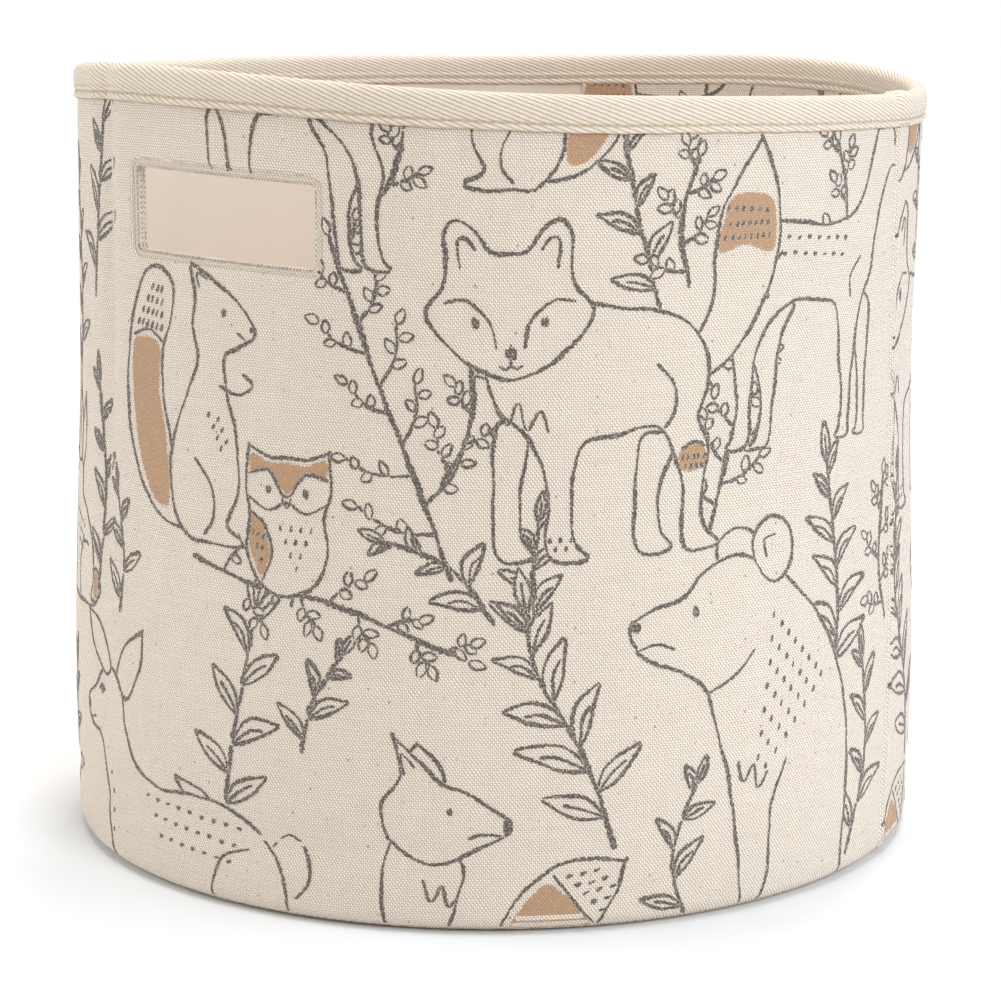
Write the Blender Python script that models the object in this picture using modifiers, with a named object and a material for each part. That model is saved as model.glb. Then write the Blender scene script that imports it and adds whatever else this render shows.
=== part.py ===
"""A round fabric storage bin: a stiffened canvas tube with a bound rim and two sewn hand-holes.

The origin is the centre of the base on the floor, +Z is up, and the hand-holes lie on -X and +X.
Every layer of cloth is its own solid. All of them are turned about the same axis, then set in the
form that the bin stands in, with a rim that rises towards the hand-holes and leans a little.
"""

import math

import bmesh
import bpy
from mathutils import Vector

# The standing form.
RIM_HEIGHT = 0.27335  # mean height of the bound rim
RIM_TILT = 0.00315  # the rim rises this much on one side and falls it on the other
RIM_TILT_TOWARDS = math.radians(142)
RIM_LIFT_AT_HANDLES = 0.0025
RIM_RIPPLE = 0.0009
RIM_LEAN = Vector((0.0018, -0.0024, 0.0))  # how far the rim's centre stands off the base's

# The canvas tube's outer radius at four heights: foot, belly, waist and rim.
OUTLINE = ((0.0061, 0.1545), (0.0500, 0.1554), (0.1930, 0.1509), (RIM_HEIGHT, 0.1514))
FOOT_ROUNDING = 0.0050

# The layers, from the outside in.
CANVAS = 0.0008
INTERLINING = 0.0020
LINING = 0.0006
BASE_BOARD = 0.0020
TAPE = 0.0008
THREAD_RADIUS = 0.00035
GAP = 0.0003

# The rim's binding: one tape folded over all the layers.
BINDING_HEIGHT = 0.0117
BINDING_STITCH_DROP = 0.0092  # from the rim's top down to the row of stitches

# The hand-holes and the facing behind each.
HANDLE_ANGLES = {"left": math.pi, "right": 0.0}
HANDLE_WIDTH = 0.0820
HANDLE_HEIGHT = 0.0276
HANDLE_DROP = 0.0472  # from the rim's top down to the hole's centre
HANDLE_CORNER = 0.0030
HANDLE_STITCH_MARGIN = 0.0025
FACING_HALF_STEPS = 5
FACING_BELOW_HOLE = 0.0200
FACING_STITCH_MARGIN = 0.0040

SIDE_SEAM_ANGLE = math.radians(-79)

SIDES = 72
WALL_ROWS = (0.0061, 0.0500, 0.0980, 0.1450, 0.1930, 0.2330)

COLLECTION = "fabric_storage_bin"


def clear_scene():
    for item in list(bpy.data.objects):
        bpy.data.objects.remove(item, do_unlink=True)


def new_collection(name, parent=None):
    made = bpy.data.collections.new(name)
    (parent or bpy.context.scene.collection).children.link(made)
    return made


def new_material(name, colour, roughness):
    made = bpy.data.materials.new(name)
    made.use_nodes = True
    shader = made.node_tree.nodes["Principled BSDF"]
    shader.inputs["Base Color"].default_value = (*colour, 1.0)
    shader.inputs["Roughness"].default_value = roughness
    shader.inputs["Metallic"].default_value = 0.0
    return made


def smoothstep(low, high, value):
    t = min(max((value - low) / (high - low), 0.0), 1.0)
    return t * t * (3.0 - 2.0 * t)


def wall_radius(height):
    """Outer radius of the canvas at a height, eased from each station of the outline to the next."""
    radius = OUTLINE[0][1]
    for (low, start), (high, end) in zip(OUTLINE, OUTLINE[1:]):
        radius += (end - start) * smoothstep(low, high, height)
    return radius


def rim_height(angle):
    """Height of the rim's top at an angle about the bin's axis."""
    tilt = RIM_TILT * math.cos(angle - RIM_TILT_TOWARDS)
    lift = RIM_LIFT_AT_HANDLES * math.cos(2 * angle + math.radians(10))
    ripple = RIM_RIPPLE * math.cos(4 * angle + math.radians(60))
    return RIM_HEIGHT + tilt + lift + ripple


def standing(point):
    """Where a point of the perfectly turned bin comes to in its standing form."""
    angle = math.atan2(point.y, point.x)
    up = point.z / RIM_HEIGHT
    rise = (rim_height(angle) - RIM_HEIGHT) * up * up
    return point + RIM_LEAN * up + Vector((0.0, 0.0, rise))


def on_wall(angle, height, outwards):
    """A point off the turned wall: outwards is measured from the canvas's outer face."""
    radius = wall_radius(height) + outwards
    return Vector((radius * math.cos(angle), radius * math.sin(angle), height))


def profile_mesh(name, outline):
    """An open line of (radius, height) points in the XZ plane."""
    mesh = bpy.data.meshes.new(name)
    points = [(radius, 0.0, height) for radius, height in outline]
    mesh.from_pydata(points, [(i, i + 1) for i in range(len(points) - 1)], [])
    return mesh


def settle(item, collection):
    """Replace an object by its evaluated mesh in the bin's standing form."""
    bpy.context.view_layer.update()
    graph = bpy.context.evaluated_depsgraph_get()
    mesh = bpy.data.meshes.new_from_object(item.evaluated_get(graph))
    name = item.name
    for vertex in mesh.vertices:
        vertex.co = standing(item.matrix_world @ vertex.co)
    bpy.data.objects.remove(item, do_unlink=True)
    mesh.name = name
    mesh.shade_smooth()
    mesh.set_sharp_from_angle(angle=math.radians(40))
    made = bpy.data.objects.new(name, mesh)
    collection.objects.link(made)
    return made


def turned_cloth(name, outline, thickness, collection, half_steps=None, facing_angle=0.0):
    """Turn an outer outline into a sheet and thicken it inwards.

    The sheet goes all the way round, or half_steps sides to each side of facing_angle.
    """
    item = bpy.data.objects.new(name, profile_mesh(name, outline))
    collection.objects.link(item)
    screw = item.modifiers.new("Turn", "SCREW")
    steps = SIDES if half_steps is None else 2 * half_steps
    screw.angle = steps * math.tau / SIDES
    screw.steps = steps
    screw.render_steps = steps
    screw.use_merge_vertices = half_steps is None
    screw.merge_threshold = 0.00001
    if half_steps is not None:
        item.rotation_euler.z = facing_angle - half_steps * math.tau / SIDES
    solidify = item.modifiers.new("Cloth", "SOLIDIFY")
    solidify.thickness = thickness
    solidify.offset = -1.0
    solidify.use_even_offset = True
    return settle(item, collection)


def disc(name, radius, bottom, thickness, collection):
    bpy.ops.mesh.primitive_cylinder_add(
        vertices=SIDES, radius=radius, depth=thickness, location=(0.0, 0.0, bottom + thickness / 2)
    )
    item = bpy.context.object
    item.name = name
    for other in list(item.users_collection):
        other.objects.unlink(item)
    collection.objects.link(item)
    item.data.shade_smooth()
    item.data.set_sharp_from_angle(angle=math.radians(40))
    return item


def thread(name, points, closed, collection):
    """A run of sewing thread along points of the turned form."""
    curve = bpy.data.curves.new(name, "CURVE")
    curve.dimensions = "3D"
    curve.bevel_depth = THREAD_RADIUS
    curve.bevel_resolution = 1
    curve.use_fill_caps = True
    spline = curve.splines.new("POLY")
    spline.points.add(len(points) - 1)
    for place, point in zip(spline.points, points):
        place.co = (*standing(point), 1.0)
    spline.use_cyclic_u = closed
    item = bpy.data.objects.new(name, curve)
    collection.objects.link(item)
    return item


def wall_outline(inwards, bottom, top):
    """The outline of a layer that lies inwards of the canvas's outer face, from top to bottom."""
    rows = [row for row in WALL_ROWS if bottom + 0.002 < row < top - 0.002]
    heights = [top, *reversed(rows), bottom]
    return [(wall_radius(height) - inwards, height) for height in heights]


def foot_outline(bottom):
    """The quarter turn that takes the canvas in under the bin."""
    centre = wall_radius(OUTLINE[0][0]) - FOOT_ROUNDING
    turn = [math.radians(angle) for angle in (0, -30, -60, -90)]
    return [
        (
            centre + FOOT_ROUNDING * math.cos(angle),
            bottom + FOOT_ROUNDING * (1 + math.sin(angle)),
        )
        for angle in turn
    ]


# Where the layers lie, measured inwards from the canvas's outer face.
CANVAS_TO_TAPE = GAP + TAPE
INTERLINING_AT = CANVAS + GAP
LINING_AT = INTERLINING_AT + INTERLINING + GAP
FACING_AT = LINING_AT + LINING + GAP
TAPE_INNER_FACE = LINING_AT + LINING + GAP + TAPE
FACET = wall_radius(RIM_HEIGHT) * (1 - math.cos(math.pi / SIDES))  # a flat side's depth below the round
THREAD_OUT = GAP + THREAD_RADIUS
THREAD_IN = GAP + FACET + THREAD_RADIUS
LAYERS_TOP = RIM_HEIGHT - (CANVAS_TO_TAPE + TAPE_INNER_FACE) / 2
FOOT = CANVAS + GAP
BASE_LINING_AT = FOOT + BASE_BOARD + GAP


def binding_outline(inner_face):
    """The tape's outer face: up inside the bin, over the rim in a half round, and down outside."""
    outer_face = CANVAS_TO_TAPE
    half = (outer_face + inner_face) / 2
    centre = outer_face - half
    foot = RIM_HEIGHT - BINDING_HEIGHT
    over = [math.radians(angle) for angle in (180, 135, 90, 45, 0)]
    fold = [
        (
            wall_radius(RIM_HEIGHT) + centre + half * math.cos(angle),
            RIM_HEIGHT - half * (1 - math.sin(angle)),
        )
        for angle in over
    ]
    inside = [(wall_radius(foot) - inner_face, foot)]
    outside = [(wall_radius(foot) + outer_face, foot)]
    return inside + fold + outside


def rounded_loop(width, height, corner, corner_steps=3, side_steps=4):
    """A rounded rectangle about the origin as (across, up) points, with extra points on its long sides."""
    across = width / 2 - corner
    up = height / 2 - corner
    centres = ((across, up), (-across, up), (-across, -up), (across, -up))
    points = []
    for quarter, (x, y) in enumerate(centres):
        for step in range(corner_steps + 1):
            angle = math.pi / 2 * (quarter + step / corner_steps)
            points.append((x + corner * math.cos(angle), y + corner * math.sin(angle)))
        if quarter in (0, 2):
            start, side = points[-1], -1 if quarter == 0 else 1
            run = 2 * across / (side_steps + 1)
            points += [(start[0] + side * run * (i + 1), start[1]) for i in range(side_steps)]
    return points


def handle_cutter(name, angle, collection):
    """A bar with rounded long edges that cuts one hand-hole through every layer."""
    bm = bmesh.new()
    bmesh.ops.create_cube(bm, size=1.0)
    bmesh.ops.scale(bm, vec=(0.05, HANDLE_WIDTH, HANDLE_HEIGHT), verts=bm.verts)
    along = [edge for edge in bm.edges if abs((edge.verts[0].co - edge.verts[1].co).x) > 0.01]
    bmesh.ops.bevel(bm, geom=along, offset=HANDLE_CORNER, segments=3, profile=0.5, affect="EDGES")
    mesh = bpy.data.meshes.new(name)
    bm.to_mesh(mesh)
    bm.free()
    item = bpy.data.objects.new(name, mesh)
    item.location = standing(on_wall(angle, rim_height(angle) - HANDLE_DROP, 0.0))
    item.location.z = rim_height(angle) - HANDLE_DROP
    item.hide_render = True
    item.display_type = "WIRE"
    collection.objects.link(item)
    return item


def cut(item, cutters):
    for cutter in cutters:
        boolean = item.modifiers.new(cutter.name, "BOOLEAN")
        boolean.operation = "DIFFERENCE"
        boolean.solver = "EXACT"
        boolean.object = cutter


def turned_height(angle, height):
    """The height in the turned form of a point that stands at a given height."""
    found = height
    for _ in range(4):
        up = found / RIM_HEIGHT
        found = height - (rim_height(angle) - RIM_HEIGHT) * up * up
    return found


def loop_on_wall(angle, centre, width, height, corner, outwards):
    """A rounded loop of points laid on the wall, centred on a standing height."""
    points = []
    for across, up in rounded_loop(width, height, corner):
        turn = angle + across / wall_radius(centre)
        points.append(on_wall(turn, turned_height(turn, centre + up), outwards))
    return points


def ring_on_wall(height, outwards):
    return [on_wall(math.tau * side / SIDES, height, outwards) for side in range(SIDES)]


def build():
    clear_scene()
    collection = new_collection(COLLECTION)
    cutters = new_collection("cutters")
    canvas = new_material("printed_canvas", (0.71, 0.65, 0.56), 0.95)
    felt = new_material("stiffener", (0.62, 0.60, 0.57), 1.0)
    lining = new_material("plain_lining", (0.72, 0.62, 0.52), 0.95)
    tape = new_material("twill_tape", (0.70, 0.64, 0.54), 0.9)
    sewing = new_material("sewing_thread", (0.66, 0.58, 0.47), 0.8)
    holes = {side: handle_cutter(f"hand_hole_{side}", at, cutters) for side, at in HANDLE_ANGLES.items()}

    wall = wall_outline(0.0, OUTLINE[0][0], LAYERS_TOP)[:-1] + foot_outline(FOOT)
    layers = (
        ("outer_wall", wall, CANVAS, canvas),
        ("wall_interlining", wall_outline(INTERLINING_AT, 0.0065, LAYERS_TOP), INTERLINING, felt),
        ("wall_lining", wall_outline(LINING_AT, BASE_LINING_AT, LAYERS_TOP), LINING, lining),
    )
    for name, outline, thickness, material in layers:
        item = turned_cloth(name, outline, thickness, collection)
        item.data.materials.append(material)
        cut(item, holes.values())

    lining_face = wall_radius(BASE_LINING_AT) - LINING_AT - LINING
    discs = (
        ("outer_base", 0.1505, 0.0, CANVAS, canvas),
        ("base_board", 0.1490, FOOT, BASE_BOARD, felt),
        ("base_lining", lining_face - 2 * GAP, BASE_LINING_AT, LINING, lining),
    )
    for name, radius, bottom, thickness, material in discs:
        disc(name, radius, bottom, thickness, collection).data.materials.append(material)

    binding = turned_cloth("rim_binding", binding_outline(TAPE_INNER_FACE), TAPE, collection)
    binding.data.materials.append(tape)
    stitch_row = RIM_HEIGHT - BINDING_STITCH_DROP
    threads = {
        "rim_stitching_outer": (ring_on_wall(stitch_row, CANVAS_TO_TAPE + THREAD_OUT), True),
        "rim_stitching_inner": (ring_on_wall(stitch_row, -TAPE_INNER_FACE - THREAD_IN), True),
    }

    for side, angle in HANDLE_ANGLES.items():
        centre = rim_height(angle) - HANDLE_DROP
        facing_top = RIM_HEIGHT - BINDING_HEIGHT - 2 * GAP
        facing_bottom = turned_height(angle, centre - HANDLE_HEIGHT / 2 - FACING_BELOW_HOLE)
        facing = turned_cloth(
            f"handle_facing_{side}",
            wall_outline(FACING_AT, facing_bottom, facing_top),
            LINING,
            collection,
            FACING_HALF_STEPS,
            angle,
        )
        facing.data.materials.append(canvas)
        cut(facing, [holes[side]])

        around = (HANDLE_WIDTH + 2 * HANDLE_STITCH_MARGIN, HANDLE_HEIGHT + 2 * HANDLE_STITCH_MARGIN)
        threads[f"handle_stitching_{side}"] = (
            loop_on_wall(angle, centre, *around, HANDLE_CORNER, THREAD_OUT),
            True,
        )
        threads[f"handle_inner_stitching_{side}"] = (
            loop_on_wall(angle, centre, *around, HANDLE_CORNER, -FACING_AT - LINING - THREAD_IN),
            True,
        )
        facing_width = 2 * FACING_HALF_STEPS * math.tau / SIDES * wall_radius(centre)
        facing_height = facing_top - facing_bottom
        threads[f"facing_stitching_{side}"] = (
            loop_on_wall(
                angle,
                standing(on_wall(angle, (facing_top + facing_bottom) / 2, 0.0)).z,
                facing_width - 2 * FACING_STITCH_MARGIN,
                facing_height - 2 * FACING_STITCH_MARGIN,
                HANDLE_CORNER,
                -FACING_AT - LINING - THREAD_IN,
            ),
            True,
        )

    seam_rows = [0.0120, *WALL_ROWS[1:], RIM_HEIGHT - BINDING_HEIGHT - 0.0010]
    threads["side_seam_stitching"] = (
        [on_wall(SIDE_SEAM_ANGLE, height, THREAD_OUT) for height in seam_rows],
        False,
    )
    for name, (points, closed) in threads.items():
        thread(name, points, closed, collection).data.materials.append(sewing)


build()
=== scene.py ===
"""The looks of a round fabric storage bin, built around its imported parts.

The bin is a tube of printed cotton duck over a felt stiffener, lined with plain cloth, bound at
the rim with twill tape, and cut and faced at two hand-holes. Each layer is one surface: a function
of the angle about the axis and the height up the wall, set off from the same standing form.
"""

import logging
from dataclasses import dataclass, field
from enum import Enum

import bmesh
import bpy
import numpy as np
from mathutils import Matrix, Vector
from mathutils.geometry import delaunay_2d_cdt


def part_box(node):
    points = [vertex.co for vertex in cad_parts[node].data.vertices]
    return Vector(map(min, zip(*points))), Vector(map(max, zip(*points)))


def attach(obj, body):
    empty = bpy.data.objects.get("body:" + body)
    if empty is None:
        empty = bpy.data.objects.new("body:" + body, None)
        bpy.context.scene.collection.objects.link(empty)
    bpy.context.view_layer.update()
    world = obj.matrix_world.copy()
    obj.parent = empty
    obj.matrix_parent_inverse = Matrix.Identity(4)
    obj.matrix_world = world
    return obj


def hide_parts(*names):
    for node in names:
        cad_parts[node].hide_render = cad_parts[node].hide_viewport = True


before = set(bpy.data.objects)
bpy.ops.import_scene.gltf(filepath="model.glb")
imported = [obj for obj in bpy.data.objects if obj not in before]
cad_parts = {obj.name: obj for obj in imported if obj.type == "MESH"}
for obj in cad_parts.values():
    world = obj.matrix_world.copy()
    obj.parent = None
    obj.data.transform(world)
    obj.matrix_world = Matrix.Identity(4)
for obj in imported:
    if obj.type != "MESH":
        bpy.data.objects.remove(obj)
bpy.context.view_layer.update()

BODY = "root"
MM = 0.001

Array = np.ndarray
log = logging.getLogger("storage_bin")
logging.basicConfig(level=logging.INFO, format="%(name)s: %(message)s")


# --- the standing form ---------------------------------------------------------------------------


def smoothstep(low: float, high: float, value: Array) -> Array:
    """Ease from 0 to 1 as a value goes from low to high."""
    t = np.clip((np.asarray(value, float) - low) / (high - low), 0.0, 1.0)
    return t * t * (3.0 - 2.0 * t)


def hump(distance: Array, width: float) -> Array:
    """A bell of height 1: the exponential of minus the squared distance over the squared width."""
    return np.exp(-((np.asarray(distance, float) / width) ** 2))


def turn_between(angle: Array, centre: float) -> Array:
    """Signed angle from a centre, wrapped to half a turn each way."""
    return (np.asarray(angle, float) - centre + np.pi) % (2 * np.pi) - np.pi


@dataclass(frozen=True)
class Form:
    """The form that the bin stands in, shared by every layer.

    Attributes:
        belly: Greatest outer radius of the canvas, low on the wall.
        rim_height: Mean height of the bound rim.
        foot_drop: How much less the radius is at the foot than at the belly.
        waist_drop: How much less it is at the waist.
        rim_drop: How much less it is at the rim.
        lean: How far the rim's centre stands off the base's centre.
        foot_rounding: Radius of the turn under the bin.
        foot_bottom: Height of that turn's lowest point.
        seam: Angle of the side seam.
        crease: Angle of the soft upright crease.
    """

    belly: float
    rim_height: float
    foot_drop: float = 0.9 * MM
    waist_drop: float = 4.5 * MM
    rim_drop: float = 4.0 * MM
    lean: tuple[float, float] = (1.8 * MM, -2.4 * MM)
    foot_rounding: float = 5.0 * MM
    foot_bottom: float = 1.1 * MM
    seam: float = np.radians(-79)
    crease: float = np.radians(157)

    @classmethod
    def from_frame(cls) -> "Form":
        """Read the driving sizes from the frame's own parts.

        Returns:
            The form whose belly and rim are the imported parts'.
        """
        low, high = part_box("outer_wall")
        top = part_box("rim_binding")[1][2]
        angles = np.linspace(0.0, 2 * np.pi, 720)
        return cls(belly=(high[0] - low[0]) / 2, rim_height=top - cls.sway(angles).max())

    @staticmethod
    def sway(angle: Array) -> Array:
        """How far the rim stands over its mean height.

        One tilt across the bin, a lift of 2.5 mm at both hand-holes, and a small fourfold ripple.
        """
        tilt = 3.15 * MM * np.cos(angle - np.radians(142))
        lift = 2.5 * MM * np.cos(2 * angle + np.radians(10))
        ripple = 0.9 * MM * np.cos(4 * angle + np.radians(60))
        return tilt + lift + ripple

    @property
    def girth_radius(self) -> float:
        """Radius at which lengths along the cloth are measured."""
        return self.belly - self.waist_drop / 2

    def radius(self, height: Array) -> Array:
        """Outer radius of the canvas: eased from foot to belly to waist to rim."""
        up = np.asarray(height, float)
        share = up / self.rim_height
        radius = self.belly - self.foot_drop * (1 - smoothstep(6.1 * MM, 50 * MM, up))
        radius = radius - self.waist_drop * smoothstep(0.183, 0.706, share)
        radius = radius + (self.waist_drop - self.rim_drop) * smoothstep(0.706, 1.0, share)
        reach = self.foot_rounding
        under = np.clip(self.foot_bottom + reach - up, 0.0, reach)
        return radius - reach + np.sqrt(reach**2 - under**2)

    def relief(self, angle: Array, height: Array) -> Array:
        """How far soft cloth stands in or out of the round.

        Long shallow waves round the wall, one upright crease with a swelling beside it, a fold
        just over the foot, and small puckers where the rim is bound.
        """
        up = np.asarray(height, float) / self.rim_height
        held = smoothstep(0.02, 0.10, up)
        waves = 0.65 * np.sin(3 * angle + 0.6) * np.sin(np.pi * up)
        waves += 0.45 * np.sin(5 * angle - 1.1) * np.sin(2 * np.pi * up + 0.5)
        waves += 0.22 * np.sin(9 * angle + 4.0 * up) * np.sin(np.pi * up)
        beside = turn_between(angle, self.crease)
        tall = smoothstep(0.10, 0.75, up)
        waves += (-1.6 * hump(beside, 0.030) + 1.0 * hump(beside - 0.085, 0.045)) * tall
        waves += 0.5 * hump(beside + 0.080, 0.040) * tall
        fold_height = 0.085 + 0.012 * np.sin(2 * angle + 1.0)
        depth = 0.55 + 0.45 * np.sin(2 * angle + 2.2)
        waves += (-0.75 * hump(up - fold_height, 0.018) + 0.45 * hump(up - 0.05, 0.02)) * depth
        puckers = np.sin(31 * angle + 1.3) + 0.7 * np.sin(47 * angle)
        waves += 0.13 * puckers * hump(up - 0.935, 0.035)
        return waves * MM * held

    def point(self, angle: Array, height: Array, out: Array = 0.0) -> Array:
        """A point of the standing bin.

        Round the axis at the wall's radius plus relief plus a distance outwards; then the whole
        leans and its height gains the rim's sway in proportion to the square of the way up.

        Args:
            angle: Angle about the axis.
            height: Height up the wall before the sway.
            out: Distance outwards from the canvas's outer face.

        Returns:
            Points, one more axis than the arguments.
        """
        angle, height, out = np.broadcast_arrays(angle, height, out)
        radius = self.radius(height) + self.relief(angle, height) + out
        up = height / self.rim_height
        return np.stack([
            radius * np.cos(angle) + self.lean[0] * up,
            radius * np.sin(angle) + self.lean[1] * up,
            height + self.sway(angle) * up**2,
        ], axis=-1)

    def lifted(self, angle: Array, height: Array, out: Array, lift: float) -> Array:
        """A point set off along the surface's own normal, the cross product of its two slopes."""
        step = 1e-4
        here = self.point(angle, height, out)
        across = self.point(angle + step, height, out) - here
        upward = self.point(angle, height + step / 4, out) - here
        normal = np.cross(across, upward)
        normal /= np.linalg.norm(normal, axis=-1, keepdims=True)
        return here + lift * normal

    def turned_height(self, angle: Array, height: float) -> Array:
        """The height up the wall, before the sway, of what stands at a given height."""
        found = np.broadcast_to(float(height), np.shape(angle)).copy()
        for _ in range(4):
            found = height - self.sway(angle) * (found / self.rim_height) ** 2
        return found

    def along(self, angle: Array) -> Array:
        """Length along the cloth from the side seam."""
        return (np.asarray(angle, float) - self.seam) * self.girth_radius


FORM = Form.from_frame()


@dataclass(frozen=True)
class Layers:
    """How far each face lies outwards of the canvas's outer face."""

    canvas: float = 0.8 * MM
    stiffener_face: float = -3.1 * MM
    stiffener: float = 2.0 * MM
    lining_face: float = -4.0 * MM
    lining: float = 0.6 * MM
    facing_face: float = -4.9 * MM
    facing: float = 0.6 * MM
    tape_outer: float = 1.1 * MM
    tape_inner: float = -5.1 * MM
    tape: float = 0.8 * MM

    @property
    def half_fold(self) -> float:
        """Half the thickness over the bound rim."""
        return (self.tape_outer - self.tape_inner) / 2

    @property
    def middle(self) -> float:
        """Where the middle of the bound rim lies."""
        return (self.tape_outer + self.tape_inner) / 2

    @property
    def top(self) -> float:
        """Height up the wall at which the layers end, inside the binding."""
        return FORM.rim_height - self.half_fold


LAYERS = Layers()


class Side(Enum):
    """The two hand-holes, by the angle each lies at."""

    LEFT = np.pi
    RIGHT = 0.0

    @property
    def word(self) -> str:
        """The side's name in piece names."""
        return self.name.lower()


@dataclass(frozen=True)
class HandHole:
    """One hand-hole: a rounded rectangle in lengths along the cloth and up it.

    Attributes:
        side: Which hole it is.
        width: Length along the cloth.
        height: Height.
        corner: Radius of the corners.
        drop: From the rim's top to the hole's centre.
        roll: Radius of the cloth's turn into the hole.
        reach: Margin out to which the cloth round the hole is worked.
        stitch_margin: Margin at which the row of stitches runs.
        pinch: How far the stitches draw each face in.
    """

    side: Side
    width: float = 82.0 * MM
    height: float = 27.6 * MM
    corner: float = 2.2 * MM
    drop: float = 47.2 * MM
    roll: float = 0.6 * MM
    reach: float = 8.5 * MM
    stitch_margin: float = 1.9 * MM
    pinch: float = 1.05 * MM

    @property
    def angle(self) -> float:
        """Angle of the hole's centre."""
        return self.side.value

    @property
    def centre(self) -> float:
        """Height of the hole's centre up the wall, before the sway."""
        standing = FORM.rim_height + float(FORM.sway(self.angle)) - self.drop
        return float(FORM.turned_height(np.array(self.angle), standing))

    @property
    def angle_span(self) -> tuple[float, float]:
        """Angles of the worked cloth's two sides."""
        half = (self.width / 2 + self.reach) / FORM.girth_radius
        return self.angle - half, self.angle + half

    @property
    def height_span(self) -> tuple[float, float]:
        """Heights of the worked cloth's bottom and top."""
        half = self.height / 2 + self.reach
        return self.centre - half, self.centre + half

    def worked(self, margin: Array) -> Array:
        """How far the cloth stands proud near the hole.

        It is drawn in where the layers end, sunk at the stitches, and swells a little at the edge.
        """
        sunk = -0.22 * MM * hump(margin - self.stitch_margin, 0.4 * MM)
        drawn = -self.pinch * (1 - smoothstep(1.2 * MM, 3.4 * MM, margin))
        return sunk + drawn + 0.10 * MM * hump(margin - 1.0 * MM, 0.4 * MM)

    def loop(self, margin: float, shares: Array) -> tuple[Array, Array]:
        """A rounded rectangle round the hole.

        Each side is half a corner's arc, a straight run and half the next corner's arc, walked
        at even length, so that share 0, 0.25, 0.5 and 0.75 fall on the middles of the corners.

        Args:
            margin: How far outside the hole's edge it runs.
            shares: Places round it from 0 to 1, from the low corner at the smaller angle.

        Returns:
            Angles and heights of the places.
        """
        round_ = self.corner + margin
        flat = (self.width / 2 - self.corner, self.height / 2 - self.corner)
        arc = np.radians(np.linspace(0.0, 45.0, 7))
        places = np.empty((2, len(shares)))
        for quarter in range(4):
            spin = quarter * np.pi / 2
            straight = flat[quarter % 2]
            other = flat[(quarter + 1) % 2]
            start = np.stack([-straight + round_ * np.cos(-3 * np.pi / 4 + arc),
                              -other + round_ * np.sin(-3 * np.pi / 4 + arc)])
            end = np.stack([straight + round_ * np.cos(-np.pi / 2 + arc),
                            -other + round_ * np.sin(-np.pi / 2 + arc)])
            run = np.concatenate([start, end], axis=1)
            length = np.concatenate([[0.0], np.cumsum(np.linalg.norm(np.diff(run, axis=1), axis=0))])
            here = (shares >= quarter / 4) & (shares < (quarter + 1) / 4)
            at = (shares[here] * 4 - quarter) * length[-1]
            x, y = np.interp(at, length, run[0]), np.interp(at, length, run[1])
            places[0, here] = x * np.cos(spin) - y * np.sin(spin)
            places[1, here] = x * np.sin(spin) + y * np.cos(spin)
        return self.angle + places[0] / FORM.girth_radius, self.centre + places[1]

    def distance(self, angle: Array, height: Array) -> Array:
        """Distance outside the hole's edge, negative within it."""
        x = np.abs(turn_between(angle, self.angle)) * FORM.girth_radius
        y = np.abs(np.asarray(height) - self.centre)
        x, y = x - self.width / 2 + self.corner, y - self.height / 2 + self.corner
        outside = np.hypot(np.maximum(x, 0.0), np.maximum(y, 0.0))
        return outside + np.minimum(np.maximum(x, y), 0.0) - self.corner


HOLES = tuple(HandHole(side) for side in Side)


# --- meshes --------------------------------------------------------------------------------------


@dataclass
class Weave:
    """Quads gathered into one mesh, with a place on the cloth for every corner."""

    points: list[Array] = field(default_factory=list)
    quads: list[Array] = field(default_factory=list)
    cloth: list[Array] = field(default_factory=list)
    count: int = 0

    def grid(self, points: Array, cloth: Array, closed: bool = False, keep: Array | None = None,
             inward: bool = False) -> None:
        """Add a grid of points.

        Args:
            points: Rows by columns by three.
            cloth: Rows by columns by two, with one more column if closed.
            closed: Whether the last column meets the first.
            keep: Which cells stay, or None for all.
            inward: Whether the faces point the other way.
        """
        rows, columns = points.shape[:2]
        spans = columns if closed else columns - 1
        row, column = np.meshgrid(np.arange(rows - 1), np.arange(spans), indexing="ij")
        ahead = (column + 1) % columns
        corners = np.stack([row * columns + column, row * columns + ahead,
                            (row + 1) * columns + ahead, (row + 1) * columns + column], axis=-1)
        places = np.stack([cloth[row, column], cloth[row, column + 1],
                           cloth[row + 1, column + 1], cloth[row + 1, column]], axis=-2)
        if inward:
            corners, places = corners[..., ::-1], places[..., ::-1, :]
        chosen = np.ones(row.shape, bool) if keep is None else keep
        self.points.append(points.reshape(-1, 3))
        self.quads.append(corners[chosen] + self.count)
        self.cloth.append(places[chosen])
        self.count += rows * columns

    def build(self, name: str, merge: bool = True) -> bpy.types.Object:
        """Make the piece.

        Args:
            name: The piece's name.
            merge: Whether points that meet become one.

        Returns:
            The new object, at the origin and shaded smooth.
        """
        points, quads = np.concatenate(self.points), np.concatenate(self.quads)
        mesh = bpy.data.meshes.new(name)
        mesh.vertices.add(len(points))
        mesh.vertices.foreach_set("co", points.astype(np.float32).ravel())
        mesh.loops.add(quads.size)
        mesh.loops.foreach_set("vertex_index", quads.astype(np.int32).ravel())
        mesh.polygons.add(len(quads))
        mesh.polygons.foreach_set("loop_start", np.arange(0, quads.size, 4, dtype=np.int32))
        layer = mesh.uv_layers.new(name="Cloth")
        layer.uv.foreach_set("vector", np.concatenate(self.cloth).astype(np.float32).ravel())
        mesh.update(calc_edges=True)
        if merge:
            work = bmesh.new()
            work.from_mesh(mesh)
            bmesh.ops.remove_doubles(work, verts=work.verts, dist=2e-6)
            loose = [vertex for vertex in work.verts if not vertex.link_faces]
            bmesh.ops.delete(work, geom=loose, context="VERTS")
            work.to_mesh(mesh)
            work.free()
        mesh.shade_smooth()
        piece = bpy.data.objects.new(name, mesh)
        bpy.context.scene.collection.objects.link(piece)
        return piece


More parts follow.
